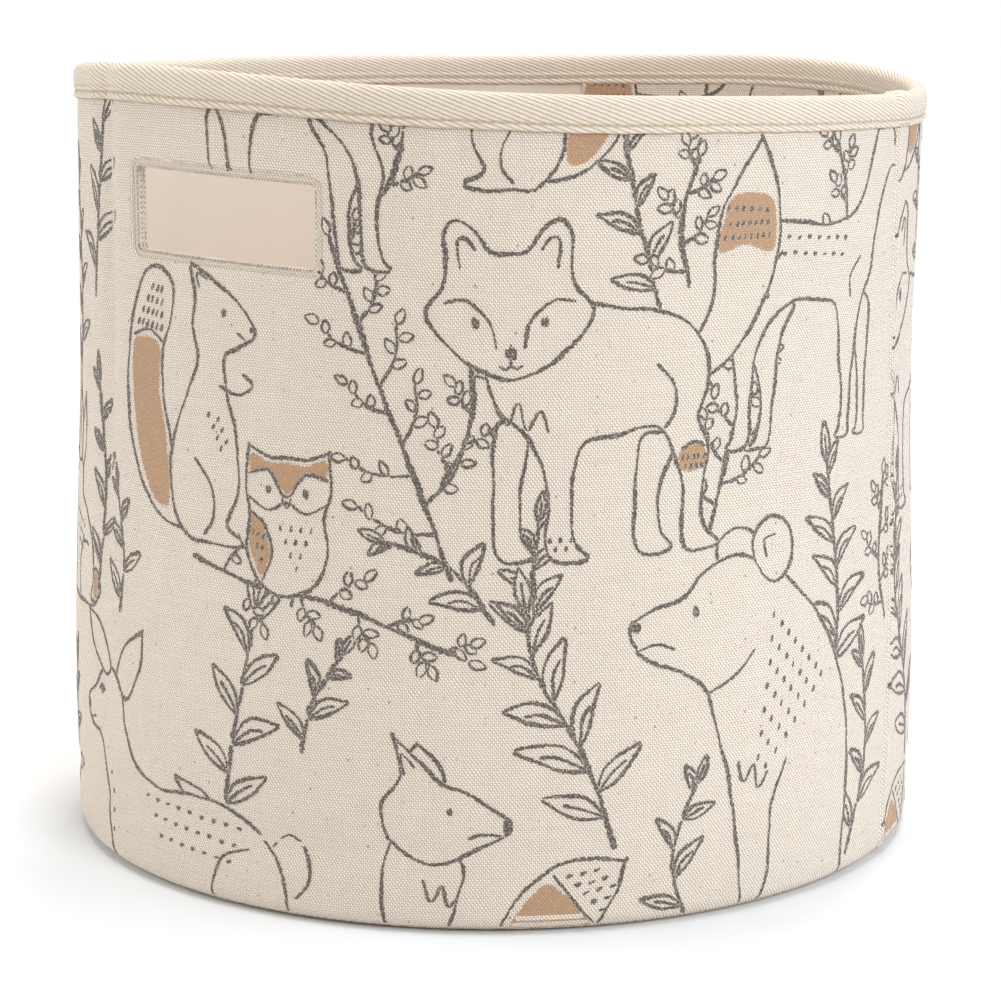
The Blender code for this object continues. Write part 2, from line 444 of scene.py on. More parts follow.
def thicken(piece: bpy.types.Object, thickness: float) -> None:
    """Give a sheet its thickness, on the side its faces point away from."""
    cloth = piece.modifiers.new("Cloth", "SOLIDIFY")
    cloth.thickness = thickness
    cloth.offset = -1.0
    cloth.use_even_offset = False


def hand_in(piece: bpy.types.Object, material: bpy.types.Material, slot: str,
            *stands_for: str) -> bpy.types.Object:
    """Dress a piece, attach it to the body, and hide the frame's parts that it takes the place of.

    Args:
        piece: The finished piece.
        material: Its finish.
        slot: The record's material slot; not used.
        *stands_for: The frame's parts that it takes the place of.

    Returns:
        The same piece.
    """
    piece.data.materials.append(material)
    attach(piece, BODY)
    if stands_for:
        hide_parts(*stands_for)
    triangles = sum(len(polygon.vertices) - 2 for polygon in piece.data.polygons)
    log.info("%s: %d triangles in its sheet", piece.name, triangles)
    return piece


def merged(*runs: Array) -> Array:
    """Sorted values of several runs, without near repeats."""
    values = np.sort(np.concatenate(runs))
    return values[np.concatenate([[True], np.diff(values) > 2e-5])]


def run_between(low: float, high: float, step: float) -> Array:
    """Even values from low to high, about a step apart."""
    return np.linspace(low, high, max(int(round((high - low) / step)), 1) + 1)


# --- finishes ------------------------------------------------------------------------------------

Colour = tuple[float, float, float]


def tint(red: int, green: int, blue: int) -> Colour:
    """A colour named by its screen values from 0 to 255, as linear light."""
    share = np.array([red, green, blue]) / 255
    linear = np.where(share <= 0.04045, share / 12.92, ((share + 0.055) / 1.055) ** 2.4)
    return tuple(float(v) for v in linear)


class Nodes:
    """A short way to write a node tree."""

    def __init__(self, tree: bpy.types.NodeTree) -> None:
        """Start on a tree, leaving what it holds."""
        self.tree = tree

    def add(self, kind: str, settings: dict | None = None, **inputs) -> bpy.types.Node:
        """Add a node.

        Args:
            kind: The node's full type.
            settings: Properties to set before its sockets are filled.
            **inputs: Values or sockets, by socket name with underscores for spaces, or by
                number after an underscore.

        Returns:
            The node.
        """
        made = self.tree.nodes.new(kind)
        for name, value in (settings or {}).items():
            setattr(made, name, value)
        for name, value in inputs.items():
            key = int(name[1:]) if name[1:].isdigit() else name.replace("_", " ")
            socket = made.inputs[key]
            if isinstance(value, bpy.types.NodeSocket):
                self.tree.links.new(value, socket)
            elif isinstance(value, tuple) and len(value) == 3 and socket.type == "RGBA":
                socket.default_value = (*value, 1.0)
            else:
                socket.default_value = value
        return made

    def math(self, operation: str, *values, clamp: bool = False) -> bpy.types.NodeSocket:
        """One arithmetic step on numbers or sockets, as a socket."""
        inputs = {f"_{place}": value for place, value in enumerate(values)}
        settings = {"operation": operation, "use_clamp": clamp}
        return self.add("ShaderNodeMath", settings, **inputs).outputs[0]

    def ease(self, value, low: float, high: float, start: float = 0.0,
             end: float = 1.0) -> bpy.types.NodeSocket:
        """Ease from start to end as a value goes from low to high."""
        return self.add(
            "ShaderNodeMapRange", {"interpolation_type": "SMOOTHSTEP"}, Value=value,
            From_Min=low, From_Max=high, To_Min=start, To_Max=end,
        ).outputs["Result"]

    def stretch(self, vector, scale: tuple[float, float, float]) -> bpy.types.NodeSocket:
        """A vector times another, part by part."""
        return self.add("ShaderNodeVectorMath", {"operation": "MULTIPLY"}, _0=vector,
                        _1=scale).outputs[0]

    def noise(self, vector, scale: float, detail: float = 2.0,
              rough: float = 0.5) -> bpy.types.NodeSocket:
        """Smooth noise about 0.5."""
        return self.add("ShaderNodeTexNoise", Vector=vector, Scale=scale, Detail=detail,
                        Roughness=rough).outputs[0]

    def blend(self, share, first, second, how: str = "MIX") -> bpy.types.NodeSocket:
        """Two colours blended by a share."""
        return self.add("ShaderNodeMix", {"data_type": "RGBA", "blend_type": how},
                        _0=share, _6=first, _7=second).outputs[2]

    def put_out(self, surface: bpy.types.Node) -> None:
        """Make a finished surface the material's own."""
        out = self.add("ShaderNodeOutputMaterial")
        self.tree.links.new(surface.outputs[0], out.inputs["Surface"])

    def grey(self, value) -> bpy.types.NodeSocket:
        """A number as a grey colour."""
        return self.add("ShaderNodeCombineColor", Red=value, Green=value, Blue=value).outputs[0]


def bare_material(name: str) -> tuple[bpy.types.Material, Nodes]:
    """Begin a material with an empty node tree.

    Args:
        name: The material's name.

    Returns:
        The material and a way to write its nodes.
    """
    material = bpy.data.materials.new(name)
    material.use_nodes = True
    material.node_tree.nodes.clear()
    return material, Nodes(material.node_tree)


def effect(name: str, inputs: dict[str, float | None], outputs: dict[str, str], draw) -> bpy.types.NodeTree:
    """A named node group, made once.

    Args:
        name: The group's name.
        inputs: Input names and default numbers; None makes a vector.
        outputs: Output names and "Float", "Color" or "Vector".
        draw: Called with the pen and the inputs by name; returns the outputs by name.

    Returns:
        The group.
    """
    if name in bpy.data.node_groups:
        return bpy.data.node_groups[name]
    group = bpy.data.node_groups.new(name, "ShaderNodeTree")
    for key, default in inputs.items():
        kind = "NodeSocketVector" if default is None else "NodeSocketFloat"
        socket = group.interface.new_socket(key, in_out="INPUT", socket_type=kind)
        if default is not None:
            socket.default_value = default
    for key, kind in outputs.items():
        group.interface.new_socket(key, in_out="OUTPUT", socket_type=f"NodeSocket{kind}")
    pen = Nodes(group)
    start = pen.add("NodeGroupInput")
    made = draw(pen, {key: start.outputs[key] for key in inputs})
    end = pen.add("NodeGroupOutput")
    for key, socket in made.items():
        group.links.new(socket, end.inputs[key])
    return group


def draw_plain_weave(pen: Nodes, given: dict) -> dict:
    """Plain weave, from a place on the cloth in metres.

    A place is counted in ends across and picks up, each wandering a little. In every square where
    an end and a pick cross, the sign of sin(pi x) sin(pi y) says which lies on top. The upper
    yarn is round across and arched along: |sin| across to the power 0.6, times a half plus half
    of |sin| along. The ends are beaten up proud of the picks, and a cosine of x + y leans the
    whole to the slanting lines that the ends' crowns make. Each yarn has its own
    tone, drawn out along it, with thicker slubs here and there.
    """
    split = pen.add("ShaderNodeSeparateXYZ", Vector=given["Cloth"])
    wander = pen.noise(given["Cloth"], 90.0, 3.0)
    drift = pen.noise(pen.stretch(given["Cloth"], (1.0, 1.0, 1.0)), 520.0, 1.0)
    shift = pen.math("MULTIPLY", pen.math("SUBTRACT", wander, 0.5), given["Wander"])
    shiver = pen.math("MULTIPLY", pen.math("SUBTRACT", drift, 0.5), 0.7)
    ends = pen.math("ADD", pen.math("DIVIDE", split.outputs[0], given["Ends"]),
                    pen.math("ADD", shift, shiver))
    picks = pen.math("ADD", pen.math("DIVIDE", split.outputs[1], given["Picks"]),
                     pen.math("SUBTRACT", shift, shiver))
    sine_x = pen.math("SINE", pen.math("MULTIPLY", ends, np.pi))
    sine_y = pen.math("SINE", pen.math("MULTIPLY", picks, np.pi))
    warp_up = pen.math("GREATER_THAN", pen.math("MULTIPLY", sine_x, sine_y), 0.0)
    across, upward = pen.math("ABSOLUTE", sine_x), pen.math("ABSOLUTE", sine_y)
    warp = pen.math("MULTIPLY", pen.math("POWER", across, 0.6),
                    pen.math("MULTIPLY_ADD", upward, 0.5, 0.5))
    weft = pen.math("MULTIPLY", pen.math("POWER", upward, 0.6),
                    pen.math("MULTIPLY_ADD", across, 0.5, 0.5))
    low_weft = pen.math("MULTIPLY", weft, 0.72)
    either = pen.add("ShaderNodeMix", {"data_type": "FLOAT"}, _0=warp_up, _2=low_weft, _3=warp)
    slope = pen.math("COSINE", pen.math("MULTIPLY", pen.math("ADD", ends, picks), np.pi))
    height = pen.math("SUBTRACT", either.outputs[0], pen.math("MULTIPLY", slope, 0.16))
    warp_tone = pen.noise(pen.stretch(given["Cloth"], (1500.0, 60.0, 1.0)), 1.0, 2.0)
    weft_tone = pen.noise(pen.stretch(given["Cloth"], (55.0, 1150.0, 1.0)), 1.0, 2.0)
    tones = pen.add("ShaderNodeMix", {"data_type": "FLOAT"}, _0=warp_up, _2=weft_tone, _3=warp_tone)
    yarn = pen.math("MULTIPLY", pen.math("SUBTRACT", tones.outputs[0], 0.5), given["Slub"])
    body = pen.math("MULTIPLY", pen.math("SUBTRACT", wander, 0.5), pen.math("MULTIPLY", given["Slub"], 0.3))
    raised = pen.math("ADD", height, pen.math("MULTIPLY", yarn, 0.8))
    pits = pen.ease(raised, 0.16, 0.80, 1.0, 0.0)
    grain = pen.math("MULTIPLY_ADD", pen.noise(given["Cloth"], 1300.0, 1.0), 0.26, 0.87)
    tone = pen.math("ADD", pen.math("ADD", yarn, body), grain)
    return {"Height": raised, "Pits": pits, "Tone": tone}


def draw_flecks(pen: Nodes, given: dict) -> dict:
    """Seed specks left in unbleached cotton.

    The plane is cut into cells about the given size; in the few whose own random number is near
    one, a small soft ellipse round the cell's point is marked. Two calls at different sizes give
    the fewer dark specks and the many faint ones.
    """
    made = []
    for scale, rare, size in ((230.0, 0.93, 0.15), (150.0, 0.93, 0.085)):
        cell = pen.add("ShaderNodeTexVoronoi", {"voronoi_dimensions": "2D"},
                       Vector=pen.stretch(given["Cloth"], (1.0, 0.85, 1.0)), Scale=scale)
        chance = pen.add("ShaderNodeSeparateColor", Color=cell.outputs["Color"]).outputs[0]
        near = pen.ease(cell.outputs["Distance"], size * 0.4, size, 1.0, 0.0)
        made.append(pen.math("MULTIPLY", near, pen.math("GREATER_THAN", chance, rare)))
    return {"Faint": made[0], "Dark": made[1]}


def draw_twill(pen: Nodes, given: dict) -> dict:
    """Twill ribs slanting along a tape, from a place on it in metres.

    The rib number grows along a line at the given slant; across each rib the height is the square
    root of |sin|, and along it yarns of the given length rise and fall in the same way, half a
    yarn on from rib to rib.
    """
    split = pen.add("ShaderNodeSeparateXYZ", Vector=given["Cloth"])
    wander = pen.math("MULTIPLY", pen.math("SUBTRACT", pen.noise(given["Cloth"], 300.0, 2.0), 0.5), 0.00035)
    along = pen.math("ADD", split.outputs[0], wander)
    slant = pen.math("MULTIPLY", along, pen.math("SINE", given["Slant"]))
    rise = pen.math("MULTIPLY", split.outputs[1], pen.math("COSINE", given["Slant"]))
    rib = pen.math("DIVIDE", pen.math("ADD", slant, rise), given["Rib"])
    number = pen.math("MULTIPLY", pen.math("FLOOR", rib), 0.5)
    yarn = pen.math("ADD", pen.math("DIVIDE", along, given["Yarn"]), number)
    across = pen.math("POWER", pen.math("ABSOLUTE", pen.math("SINE", pen.math("MULTIPLY", rib, np.pi))), 0.6)
    bead = pen.math("POWER", pen.math("ABSOLUTE", pen.math("SINE", pen.math("MULTIPLY", yarn, np.pi))), 0.5)
    height = pen.math("MULTIPLY", across, pen.math("MULTIPLY_ADD", bead, 0.35, 0.65))
    tone = pen.noise(pen.stretch(given["Cloth"], (900.0, 500.0, 1.0)), 1.0, 2.0)
    slow = pen.noise(given["Cloth"], 45.0, 2.0)
    both = pen.math("ADD", pen.math("MULTIPLY_ADD", pen.math("SUBTRACT", tone, 0.5), 0.22, 1.0),
                    pen.math("MULTIPLY", pen.math("SUBTRACT", slow, 0.5), 0.10))
    # Gaps between the ribs, which the finish darkens with painted shade.
    between = pen.ease(across, 0.30, 0.85, 1.0, 0.0)
    gaps = pen.math("MULTIPLY", between, pen.math("MULTIPLY_ADD", bead, 0.75, 0.25))
    return {"Height": height, "Pits": gaps, "Tone": both}


@dataclass(frozen=True)
class ClothFinish:
    """A woven finish.

    Attributes:
        name: The material's name.
        colour: Colour of the yarn.
        shade: How far the pits between yarns go to the painted shade colour of their hollows.
        ends: Spacing of the ends.
        picks: Spacing of the picks.
        wander: How far yarns wander, in yarns.
        slub: How much tone changes from yarn to yarn.
        relief: Height of the weave.
        flecks: How strongly seed specks show.
        sheen: Sheen of the fibre.
        hollow_shade: Painted shade colour of the hollows between the yarns.
    """

    name: str
    colour: Colour
    shade: float = 0.50
    ends: float = 0.62 * MM
    picks: float = 0.835 * MM
    wander: float = 1.3
    slub: float = 0.34
    relief: float = 0.28 * MM
    flecks: float = 1.0
    sheen: float = 0.12
    hollow_shade: Colour = tint(148, 126, 104)

    def weave(self, pen: Nodes, cloth: bpy.types.NodeSocket) -> bpy.types.Node:
        """Place the plain-weave effect with this finish's own numbers."""
        group = effect("plain weave",
                       {"Cloth": None, "Ends": 0.001, "Picks": 0.001, "Wander": 0.0, "Slub": 0.0},
                       {"Height": "Float", "Pits": "Float", "Tone": "Float"}, draw_plain_weave)
        return pen.add("ShaderNodeGroup", {"node_tree": group}, Cloth=cloth, Ends=self.ends,
                       Picks=self.picks, Wander=self.wander, Slub=self.slub)

    def surface(self, pen: Nodes, cloth: bpy.types.NodeSocket,
                weave: bpy.types.Node) -> bpy.types.NodeSocket:
        """The cloth's colour: the yarn's, by its tone, with painted shade in the pits between yarns, and seed
        specks.
        """
        # Painted shade: pits between the yarns are blended towards the hollow colour, for the shade that
        # falls down between them.
        pit_shade = pen.math("MULTIPLY", weave.outputs["Pits"], self.shade)
        colour = pen.blend(1.0, self.colour, pen.grey(weave.outputs["Tone"]), "MULTIPLY")
        colour = pen.blend(pit_shade, colour, self.hollow_shade)
        flecks = pen.add("ShaderNodeGroup", {"node_tree": effect(
            "seed flecks", {"Cloth": None}, {"Faint": "Float", "Dark": "Float"}, draw_flecks)},
            Cloth=cloth)
        faint = pen.math("MULTIPLY", flecks.outputs["Faint"], 0.38 * self.flecks)
        dark = pen.math("MULTIPLY", flecks.outputs["Dark"], 0.62 * self.flecks)
        colour = pen.blend(faint, colour, tint(168, 140, 108))
        return pen.blend(dark, colour, tint(120, 92, 70))

    def shader(self, pen: Nodes, colour: bpy.types.NodeSocket, height: bpy.types.NodeSocket,
               roughness: float = 0.92) -> None:
        """Finish the material: a rough, faintly sheened surface raised by its height."""
        bump = pen.add("ShaderNodeBump", Strength=0.75, Distance=self.relief, Height=height)
        surface = pen.add("ShaderNodeBsdfPrincipled", Base_Color=colour, Roughness=roughness,
                          Normal=bump.outputs[0])
        surface.inputs["Specular IOR Level"].default_value = 0.22
        surface.inputs["Sheen Weight"].default_value = self.sheen
        surface.inputs["Sheen Roughness"].default_value = 0.5
        pen.put_out(surface)

    def start(self) -> tuple[bpy.types.Material, Nodes, bpy.types.NodeSocket]:
        """Begin the material, with the cloth's own coordinates."""
        material, pen = bare_material(self.name)
        cloth = pen.add("ShaderNodeUVMap", {"uv_map": "Cloth"}).outputs[0]
        return material, pen, cloth

    def material(self) -> bpy.types.Material:
        """The finished material, made once."""
        if self.name in bpy.data.materials:
            return bpy.data.materials[self.name]
        material, pen, cloth = self.start()
        weave = self.weave(pen, cloth)
        self.shader(pen, self.surface(pen, cloth, weave), weave.outputs["Height"])
        return material


@dataclass(frozen=True)
class InkFinish:
    """Ink printed on a cloth.

    Attributes:
        name: The material's name.
        ground: The cloth under it.
        ink: The ink's colour.
        miss: How much of the cloth shows in specks between the yarns' crowns.
        wear: How much of it shows in worn patches.
    """

    name: str
    ground: ClothFinish
    ink: Colour
    miss: float = 0.75
    wear: float = 0.30

    def material(self) -> bpy.types.Material:
        """The finished material: ink over the ground cloth, darkened by painted shade in the pits between
        yarns, broken by its yarns and ragged at its edges.
        """
        if self.name in bpy.data.materials:
            return bpy.data.materials[self.name]
        material, pen, cloth = ClothFinish.start(self)
        weave = self.ground.weave(pen, cloth)
        ground = self.ground.surface(pen, cloth, weave)
        # Painted shade: the ink is darker down in the pits between the yarns.
        shade = pen.math("MULTIPLY_ADD", weave.outputs["Pits"], -0.25, 1.0)
        ink = pen.blend(1.0, self.ink, pen.grey(shade), "MULTIPLY")
        grain = pen.noise(pen.stretch(cloth, (1.25, 1.0, 1.0)), 1350.0, 2.0, 0.6)
        missed = pen.ease(grain, 0.50, 0.66, 0.0, self.miss)
        patches = pen.ease(pen.noise(cloth, 420.0, 2.0, 0.6), 0.50, 0.74, 0.0, self.wear)
        edge = pen.math("ABSOLUTE", pen.add("ShaderNodeAttribute", {"attribute_name": "Edge"}).outputs["Fac"])
        ragged = pen.math("ADD", edge, pen.math("MULTIPLY", pen.math("SUBTRACT", grain, 0.5), 1.5))
        bare = pen.ease(ragged, 0.80, 1.0)
        share = pen.math("MAXIMUM", pen.math("MAXIMUM", missed, patches), bare)
        self.ground.shader(pen, pen.blend(share, ink, ground), weave.outputs["Height"], 0.88)
        return material


@dataclass(frozen=True)
class TwillFinish(ClothFinish):
    """A twill tape.

    Attributes:
        rib: Spacing of the ribs.
        yarn: Length of a yarn's float along a rib.
        slant: Slant of the ribs to the tape's length, in degrees.
        sewn_at: Height of its row of stitches over its lower edge.
        valley: Painted shade colour down in that row of stitches and at the hem.
    """

    rib: float = 1.29 * MM
    yarn: float = 1.1 * MM
    slant: float = 19.0
    sewn_at: float = 2.5 * MM
    valley: Colour = tint(188, 160, 122)

    def material(self) -> bpy.types.Material:
        """The finished material, made once."""
        if self.name in bpy.data.materials:
            return bpy.data.materials[self.name]
        material, pen, cloth = self.start()
        group = effect("twill ribs", {"Cloth": None, "Rib": 0.001, "Yarn": 0.001, "Slant": 0.0},
                       {"Height": "Float", "Pits": "Float", "Tone": "Float"}, draw_twill)
        ribs = pen.add("ShaderNodeGroup", {"node_tree": group}, Cloth=cloth, Rib=self.rib,
                       Yarn=self.yarn, Slant=np.radians(self.slant))
        rise = pen.add("ShaderNodeSeparateXYZ", Vector=cloth).outputs[1]
        # Painted shade: the row of stitches and the tape's lower edge are blended towards the valley colour,
        # for the shade in the stitched valley and at the tucked edge.
        from_row = pen.math("ABSOLUTE", pen.math("SUBTRACT", rise, self.sewn_at))
        sewn = pen.ease(from_row, 0.2 * MM, 0.7 * MM, 0.55, 0.0)
        hem = pen.ease(rise, 0.15 * MM, 0.6 * MM, 0.7, 0.0)
        valley_and_hem_shade = pen.math("MAXIMUM", sewn, hem)
        colour = pen.blend(valley_and_hem_shade, self.surface(pen, cloth, ribs), self.valley)
        self.shader(pen, colour, ribs.outputs["Height"])
        return material


@dataclass(frozen=True)
class ThreadFinish:
    """Twisted sewing thread.

    Attributes:
        name: The material's name.
        colour: Colour of the thread.
    """

    name: str
    colour: Colour

    def material(self) -> bpy.types.Material:
        """The finished material: each stitch has its own tone, with painted shade towards its ends where it
        dives into the cloth.
        """
        if self.name in bpy.data.materials:
            return bpy.data.materials[self.name]
        material, pen = bare_material(self.name)
        place = pen.add("ShaderNodeTexCoord").outputs["Object"]
        slow, grain = pen.noise(place, 420.0, 2.0), pen.noise(place, 4200.0, 2.0)
        along = pen.add("ShaderNodeUVMap", {"uv_map": "Cloth"}).outputs[0]
        length = pen.add("ShaderNodeSeparateXYZ", Vector=along)
        # Painted shade: each stitch darkens towards both ends, where it dives into the cloth.
        end = pen.ease(pen.math("ABSOLUTE", length.outputs[0]), 0.55, 1.0, 1.0, 0.38)
        tone = pen.math("ADD", pen.math("MULTIPLY_ADD", slow, 0.30, 0.70), pen.math("MULTIPLY", grain, 0.30))
        tone = pen.math("MULTIPLY", tone, end)
        colour = pen.blend(1.0, self.colour, pen.grey(tone), "MULTIPLY")
        bump = pen.add("ShaderNodeBump", Strength=0.5, Distance=0.08 * MM, Height=grain)
        surface = pen.add("ShaderNodeBsdfPrincipled", Base_Color=colour, Roughness=0.7,
                          Normal=bump.outputs[0])
        surface.inputs["Sheen Weight"].default_value = 0.2
        pen.put_out(surface)
        return material


@dataclass(frozen=True)
class FeltFinish:
    """Pressed felt of the stiffener, seen only where a layer is lifted away."""

    name: str
    colour: Colour

    def material(self) -> bpy.types.Material:
        """The finished material: matted fibres in two sizes, on object coordinates."""
        if self.name in bpy.data.materials:
            return bpy.data.materials[self.name]
        material, pen = bare_material(self.name)
        place = pen.add("ShaderNodeTexCoord").outputs["Object"]
        fibre = pen.noise(pen.stretch(place, (1.0, 2.2, 1.0)), 1400.0, 4.0, 0.7)
        matted = pen.math("ADD", pen.math("MULTIPLY", fibre, 0.35), pen.math(
            "MULTIPLY_ADD", pen.noise(place, 120.0, 3.0), 0.25, 0.68))
        colour = pen.blend(1.0, self.colour, pen.grey(matted), "MULTIPLY")
        bump = pen.add("ShaderNodeBump", Strength=0.6, Distance=0.25 * MM, Height=fibre)
        surface = pen.add("ShaderNodeBsdfPrincipled", Base_Color=colour, Roughness=0.96,
                          Normal=bump.outputs[0])
        surface.inputs["Sheen Weight"].default_value = 0.3
        pen.put_out(surface)
        return material


CANVAS = ClothFinish("natural_duck", tint(243, 231, 217), shade=0.78, slub=0.17, relief=0.24 * MM)
GREY_INK = InkFinish("grey_ink_on_duck", CANVAS, tint(94, 86, 80), miss=0.55, wear=0.25)
TAN_INK = InkFinish("tan_ink_on_duck", CANVAS, tint(187, 148, 114), miss=0.30, wear=0.10)
LINING = ClothFinish("plain_lining", tint(245, 229, 215), shade=0.30, ends=0.42 * MM,
                     picks=0.46 * MM, wander=1.5, slub=0.14, relief=0.10 * MM, flecks=0.35)
TWILL = TwillFinish("cotton_twill_tape", tint(220, 206, 189), shade=0.80, relief=0.26 * MM,
                    flecks=0.25, slub=0.2)
THREAD = ThreadFinish("cotton_thread", tint(196, 182, 160))
FELT = FeltFinish("felt_stiffener", tint(214, 206, 192))


# --- cloth pieces --------------------------------------------------------------------------------


@dataclass(frozen=True)
class HoleRing:
    """The worked cloth between a wall's grid and one hand-hole.

    Attributes:
        hole: The hand-hole.
        face: How far outwards the cloth's face lies.
        depth: How far outwards the turned edge ends.
        inward: Whether the face is seen from inside the bin.
    """

    hole: HandHole
    face: float
    depth: float
    inward: bool = False

    def add_to(self, weave: Weave, angles: Array, heights: Array) -> None:
        """Add the ring to a wall.

        It goes from the rectangular gap in the wall's grid, flat to the row of stitches, which
        sinks it a little, over a swelling, and round a quarter turn into the hole.

        Args:
            weave: The wall.
            angles: Grid angles across the gap, ends included.
            heights: Grid heights up the gap, ends included.
        """
        sides = ((angles[:-1], heights[:1]), (angles[-1:], heights[:-1]),
                 (angles[:0:-1], heights[-1:]), (angles[:1], heights[:0:-1]))
        edge = [np.concatenate([np.broadcast_arrays(a, h)[k] for a, h in sides]) for k in (0, 1)]
        counts = [max(len(a), len(h)) for a, h in sides]
        shares = np.concatenate([(quarter + np.arange(count) / count) / 4
                                 for quarter, count in enumerate(counts)])
        sign = -1.0 if self.inward else 1.0
        roll = self.hole.roll
        rows = [(edge[0], edge[1], np.full(len(shares), self.face))]
        near = self.hole.loop(4.2 * MM, shares)
        for blend in (0.35, 0.7):
            rows.append((edge[0] * (1 - blend) + near[0] * blend,
                         edge[1] * (1 - blend) + near[1] * blend,
                         np.full(len(shares), self.face)))
        for margin in np.array([4.2, 3.4, 2.9, 2.5, 2.2, 1.95, 1.7, 1.4, 1.1, 0.85]) * MM:
            a, h = self.hole.loop(margin, shares)
            rows.append((a, h, np.full(len(shares), self.face + sign * self.hole.worked(margin))))
        for turn in np.radians([0, 18, 36, 54, 72, 90]):
            a, h = self.hole.loop(roll * (1 - np.sin(turn)), shares)
            depth = self.face + sign * (self.hole.worked(roll) * np.cos(turn) - roll * (1 - np.cos(turn)))
            rows.append((a, h, np.full(len(shares), depth)))
        a, h = self.hole.loop(-0.15 * MM, shares)
        rows.append((a, h, np.full(len(shares), self.depth)))
        angle, height, out = (np.stack([row[k] for row in rows]) for k in range(3))
        points = FORM.point(angle, height, out)
        cloth = np.stack([FORM.along(angle), height + (self.face - out) * sign], axis=-1)
        cloth = np.concatenate([cloth, cloth[:, :1]], axis=1)
        weave.grid(points, cloth, closed=True, inward=self.inward)


def gap_between(angles: Array, heights: Array, hole: HandHole, margin: float | None = None) -> Array:
    """Which cells of a grid stay, leaving a rectangular gap at a hand-hole.

    Args:
        angles: Grid angles.
        heights: Grid heights.
        hole: The hand-hole.
        margin: How far the gap reaches beyond the hole, or None for its worked cloth.

    Returns:
        Rows by columns, true where the cell stays.
    """
    reach = hole.reach if margin is None else margin
    middle_a = (angles[:-1] + angles[1:]) / 2
    middle_h = (heights[:-1] + heights[1:]) / 2
    across = np.abs(turn_between(middle_a, hole.angle)) * FORM.girth_radius
    wide = across < hole.width / 2 + reach
    tall = np.abs(middle_h - hole.centre) < hole.height / 2 + reach
    return ~(tall[:, None] & wide[None, :])


@dataclass(frozen=True)
class CanvasWall:
    """The printed outer wall, from inside the binding down and under the foot."""

    column: float = 3.2 * MM
    row: float = 4.6 * MM
    fine: float = 1.5 * MM
    seam_allowance: float = 9.0 * MM

    def angles(self) -> Array:
        """Angles of the columns, from the side seam round to it, finer at holes and seam."""
        start, girth = FORM.seam, FORM.girth_radius
        coarse = run_between(start, start + 2 * np.pi, self.column / girth)
        fine = [run_between(*((np.array(hole.angle_span) - start) % (2 * np.pi) + start),
                            self.fine / girth) for hole in HOLES]
        lap = run_between(start, start + 14 * MM / girth, 0.8 * MM / girth)
        before = run_between(start + 2 * np.pi - 6 * MM / girth, start + 2 * np.pi, 0.8 * MM / girth)
        for run in (*fine, lap, before):
            coarse = coarse[(coarse < run[0] - 1e-3) | (coarse > run[-1] + 1e-3)]
        return merged(coarse, *fine, lap, before)

    def heights(self) -> Array:
        """Heights of the rows, finer at the holes and round the foot."""
        under = np.radians([0, 12, 25, 38, 52, 66, 78, 90])
        foot = FORM.foot_bottom + FORM.foot_rounding * (1 - np.cos(under))
        coarse = run_between(foot[-1], LAYERS.top, self.row)[1:]
        fine = [run_between(*hole.height_span, self.fine) for hole in HOLES]
        for run in fine:
            coarse = coarse[(coarse < run[0] - 1.2 * MM) | (coarse > run[-1] + 1.2 * MM)]
        return merged(foot, coarse, *fine)

    def seam_relief(self, angle: Array) -> Array:
        """The side seam: a narrow valley, then the step of the allowance turned to one side."""
        along = turn_between(angle, FORM.seam) * FORM.girth_radius
        valley = -0.45 * MM * hump(along, 0.9 * MM)
        ridge = 0.55 * MM * hump(along - 1.8 * MM, 1.4 * MM)
        step = 0.35 * MM * smoothstep(-0.2 * MM, 1.2 * MM, along)
        return valley + ridge + step * (1 - smoothstep(self.seam_allowance, 12.5 * MM, along))

    def build(self, finish: ClothFinish) -> bpy.types.Object:
        """Make the wall, with its worked cloth round both hand-holes."""
        angles, heights = self.angles(), self.heights()
        angle, height = np.meshgrid(angles, heights)
        keep = np.ones((len(heights) - 1, len(angles) - 1), bool)
        weave = Weave()
        for hole in HOLES:
            low, high = ((np.array(hole.angle_span) - FORM.seam) % (2 * np.pi)) + FORM.seam
            keep &= gap_between(angles, heights, hole)
            HoleRing(hole, 0.0, -2.5 * MM).add_to(
                weave,
                angles[(angles > low - 1e-5) & (angles < high + 1e-5)],
                heights[(heights > hole.height_span[0] - 1e-5)
                        & (heights < hole.height_span[1] + 1e-5)],
            )
        points = FORM.point(angle, height, self.seam_relief(angle))
        points[:, -1] = points[:, 0]
        weave.grid(points, np.stack([FORM.along(angle), height], axis=-1), keep=keep)
        piece = weave.build("canvas_wall")
        thicken(piece, LAYERS.canvas)
        hand_in(piece, finish.material(), "printed_canvas", "outer_wall")
        return piece


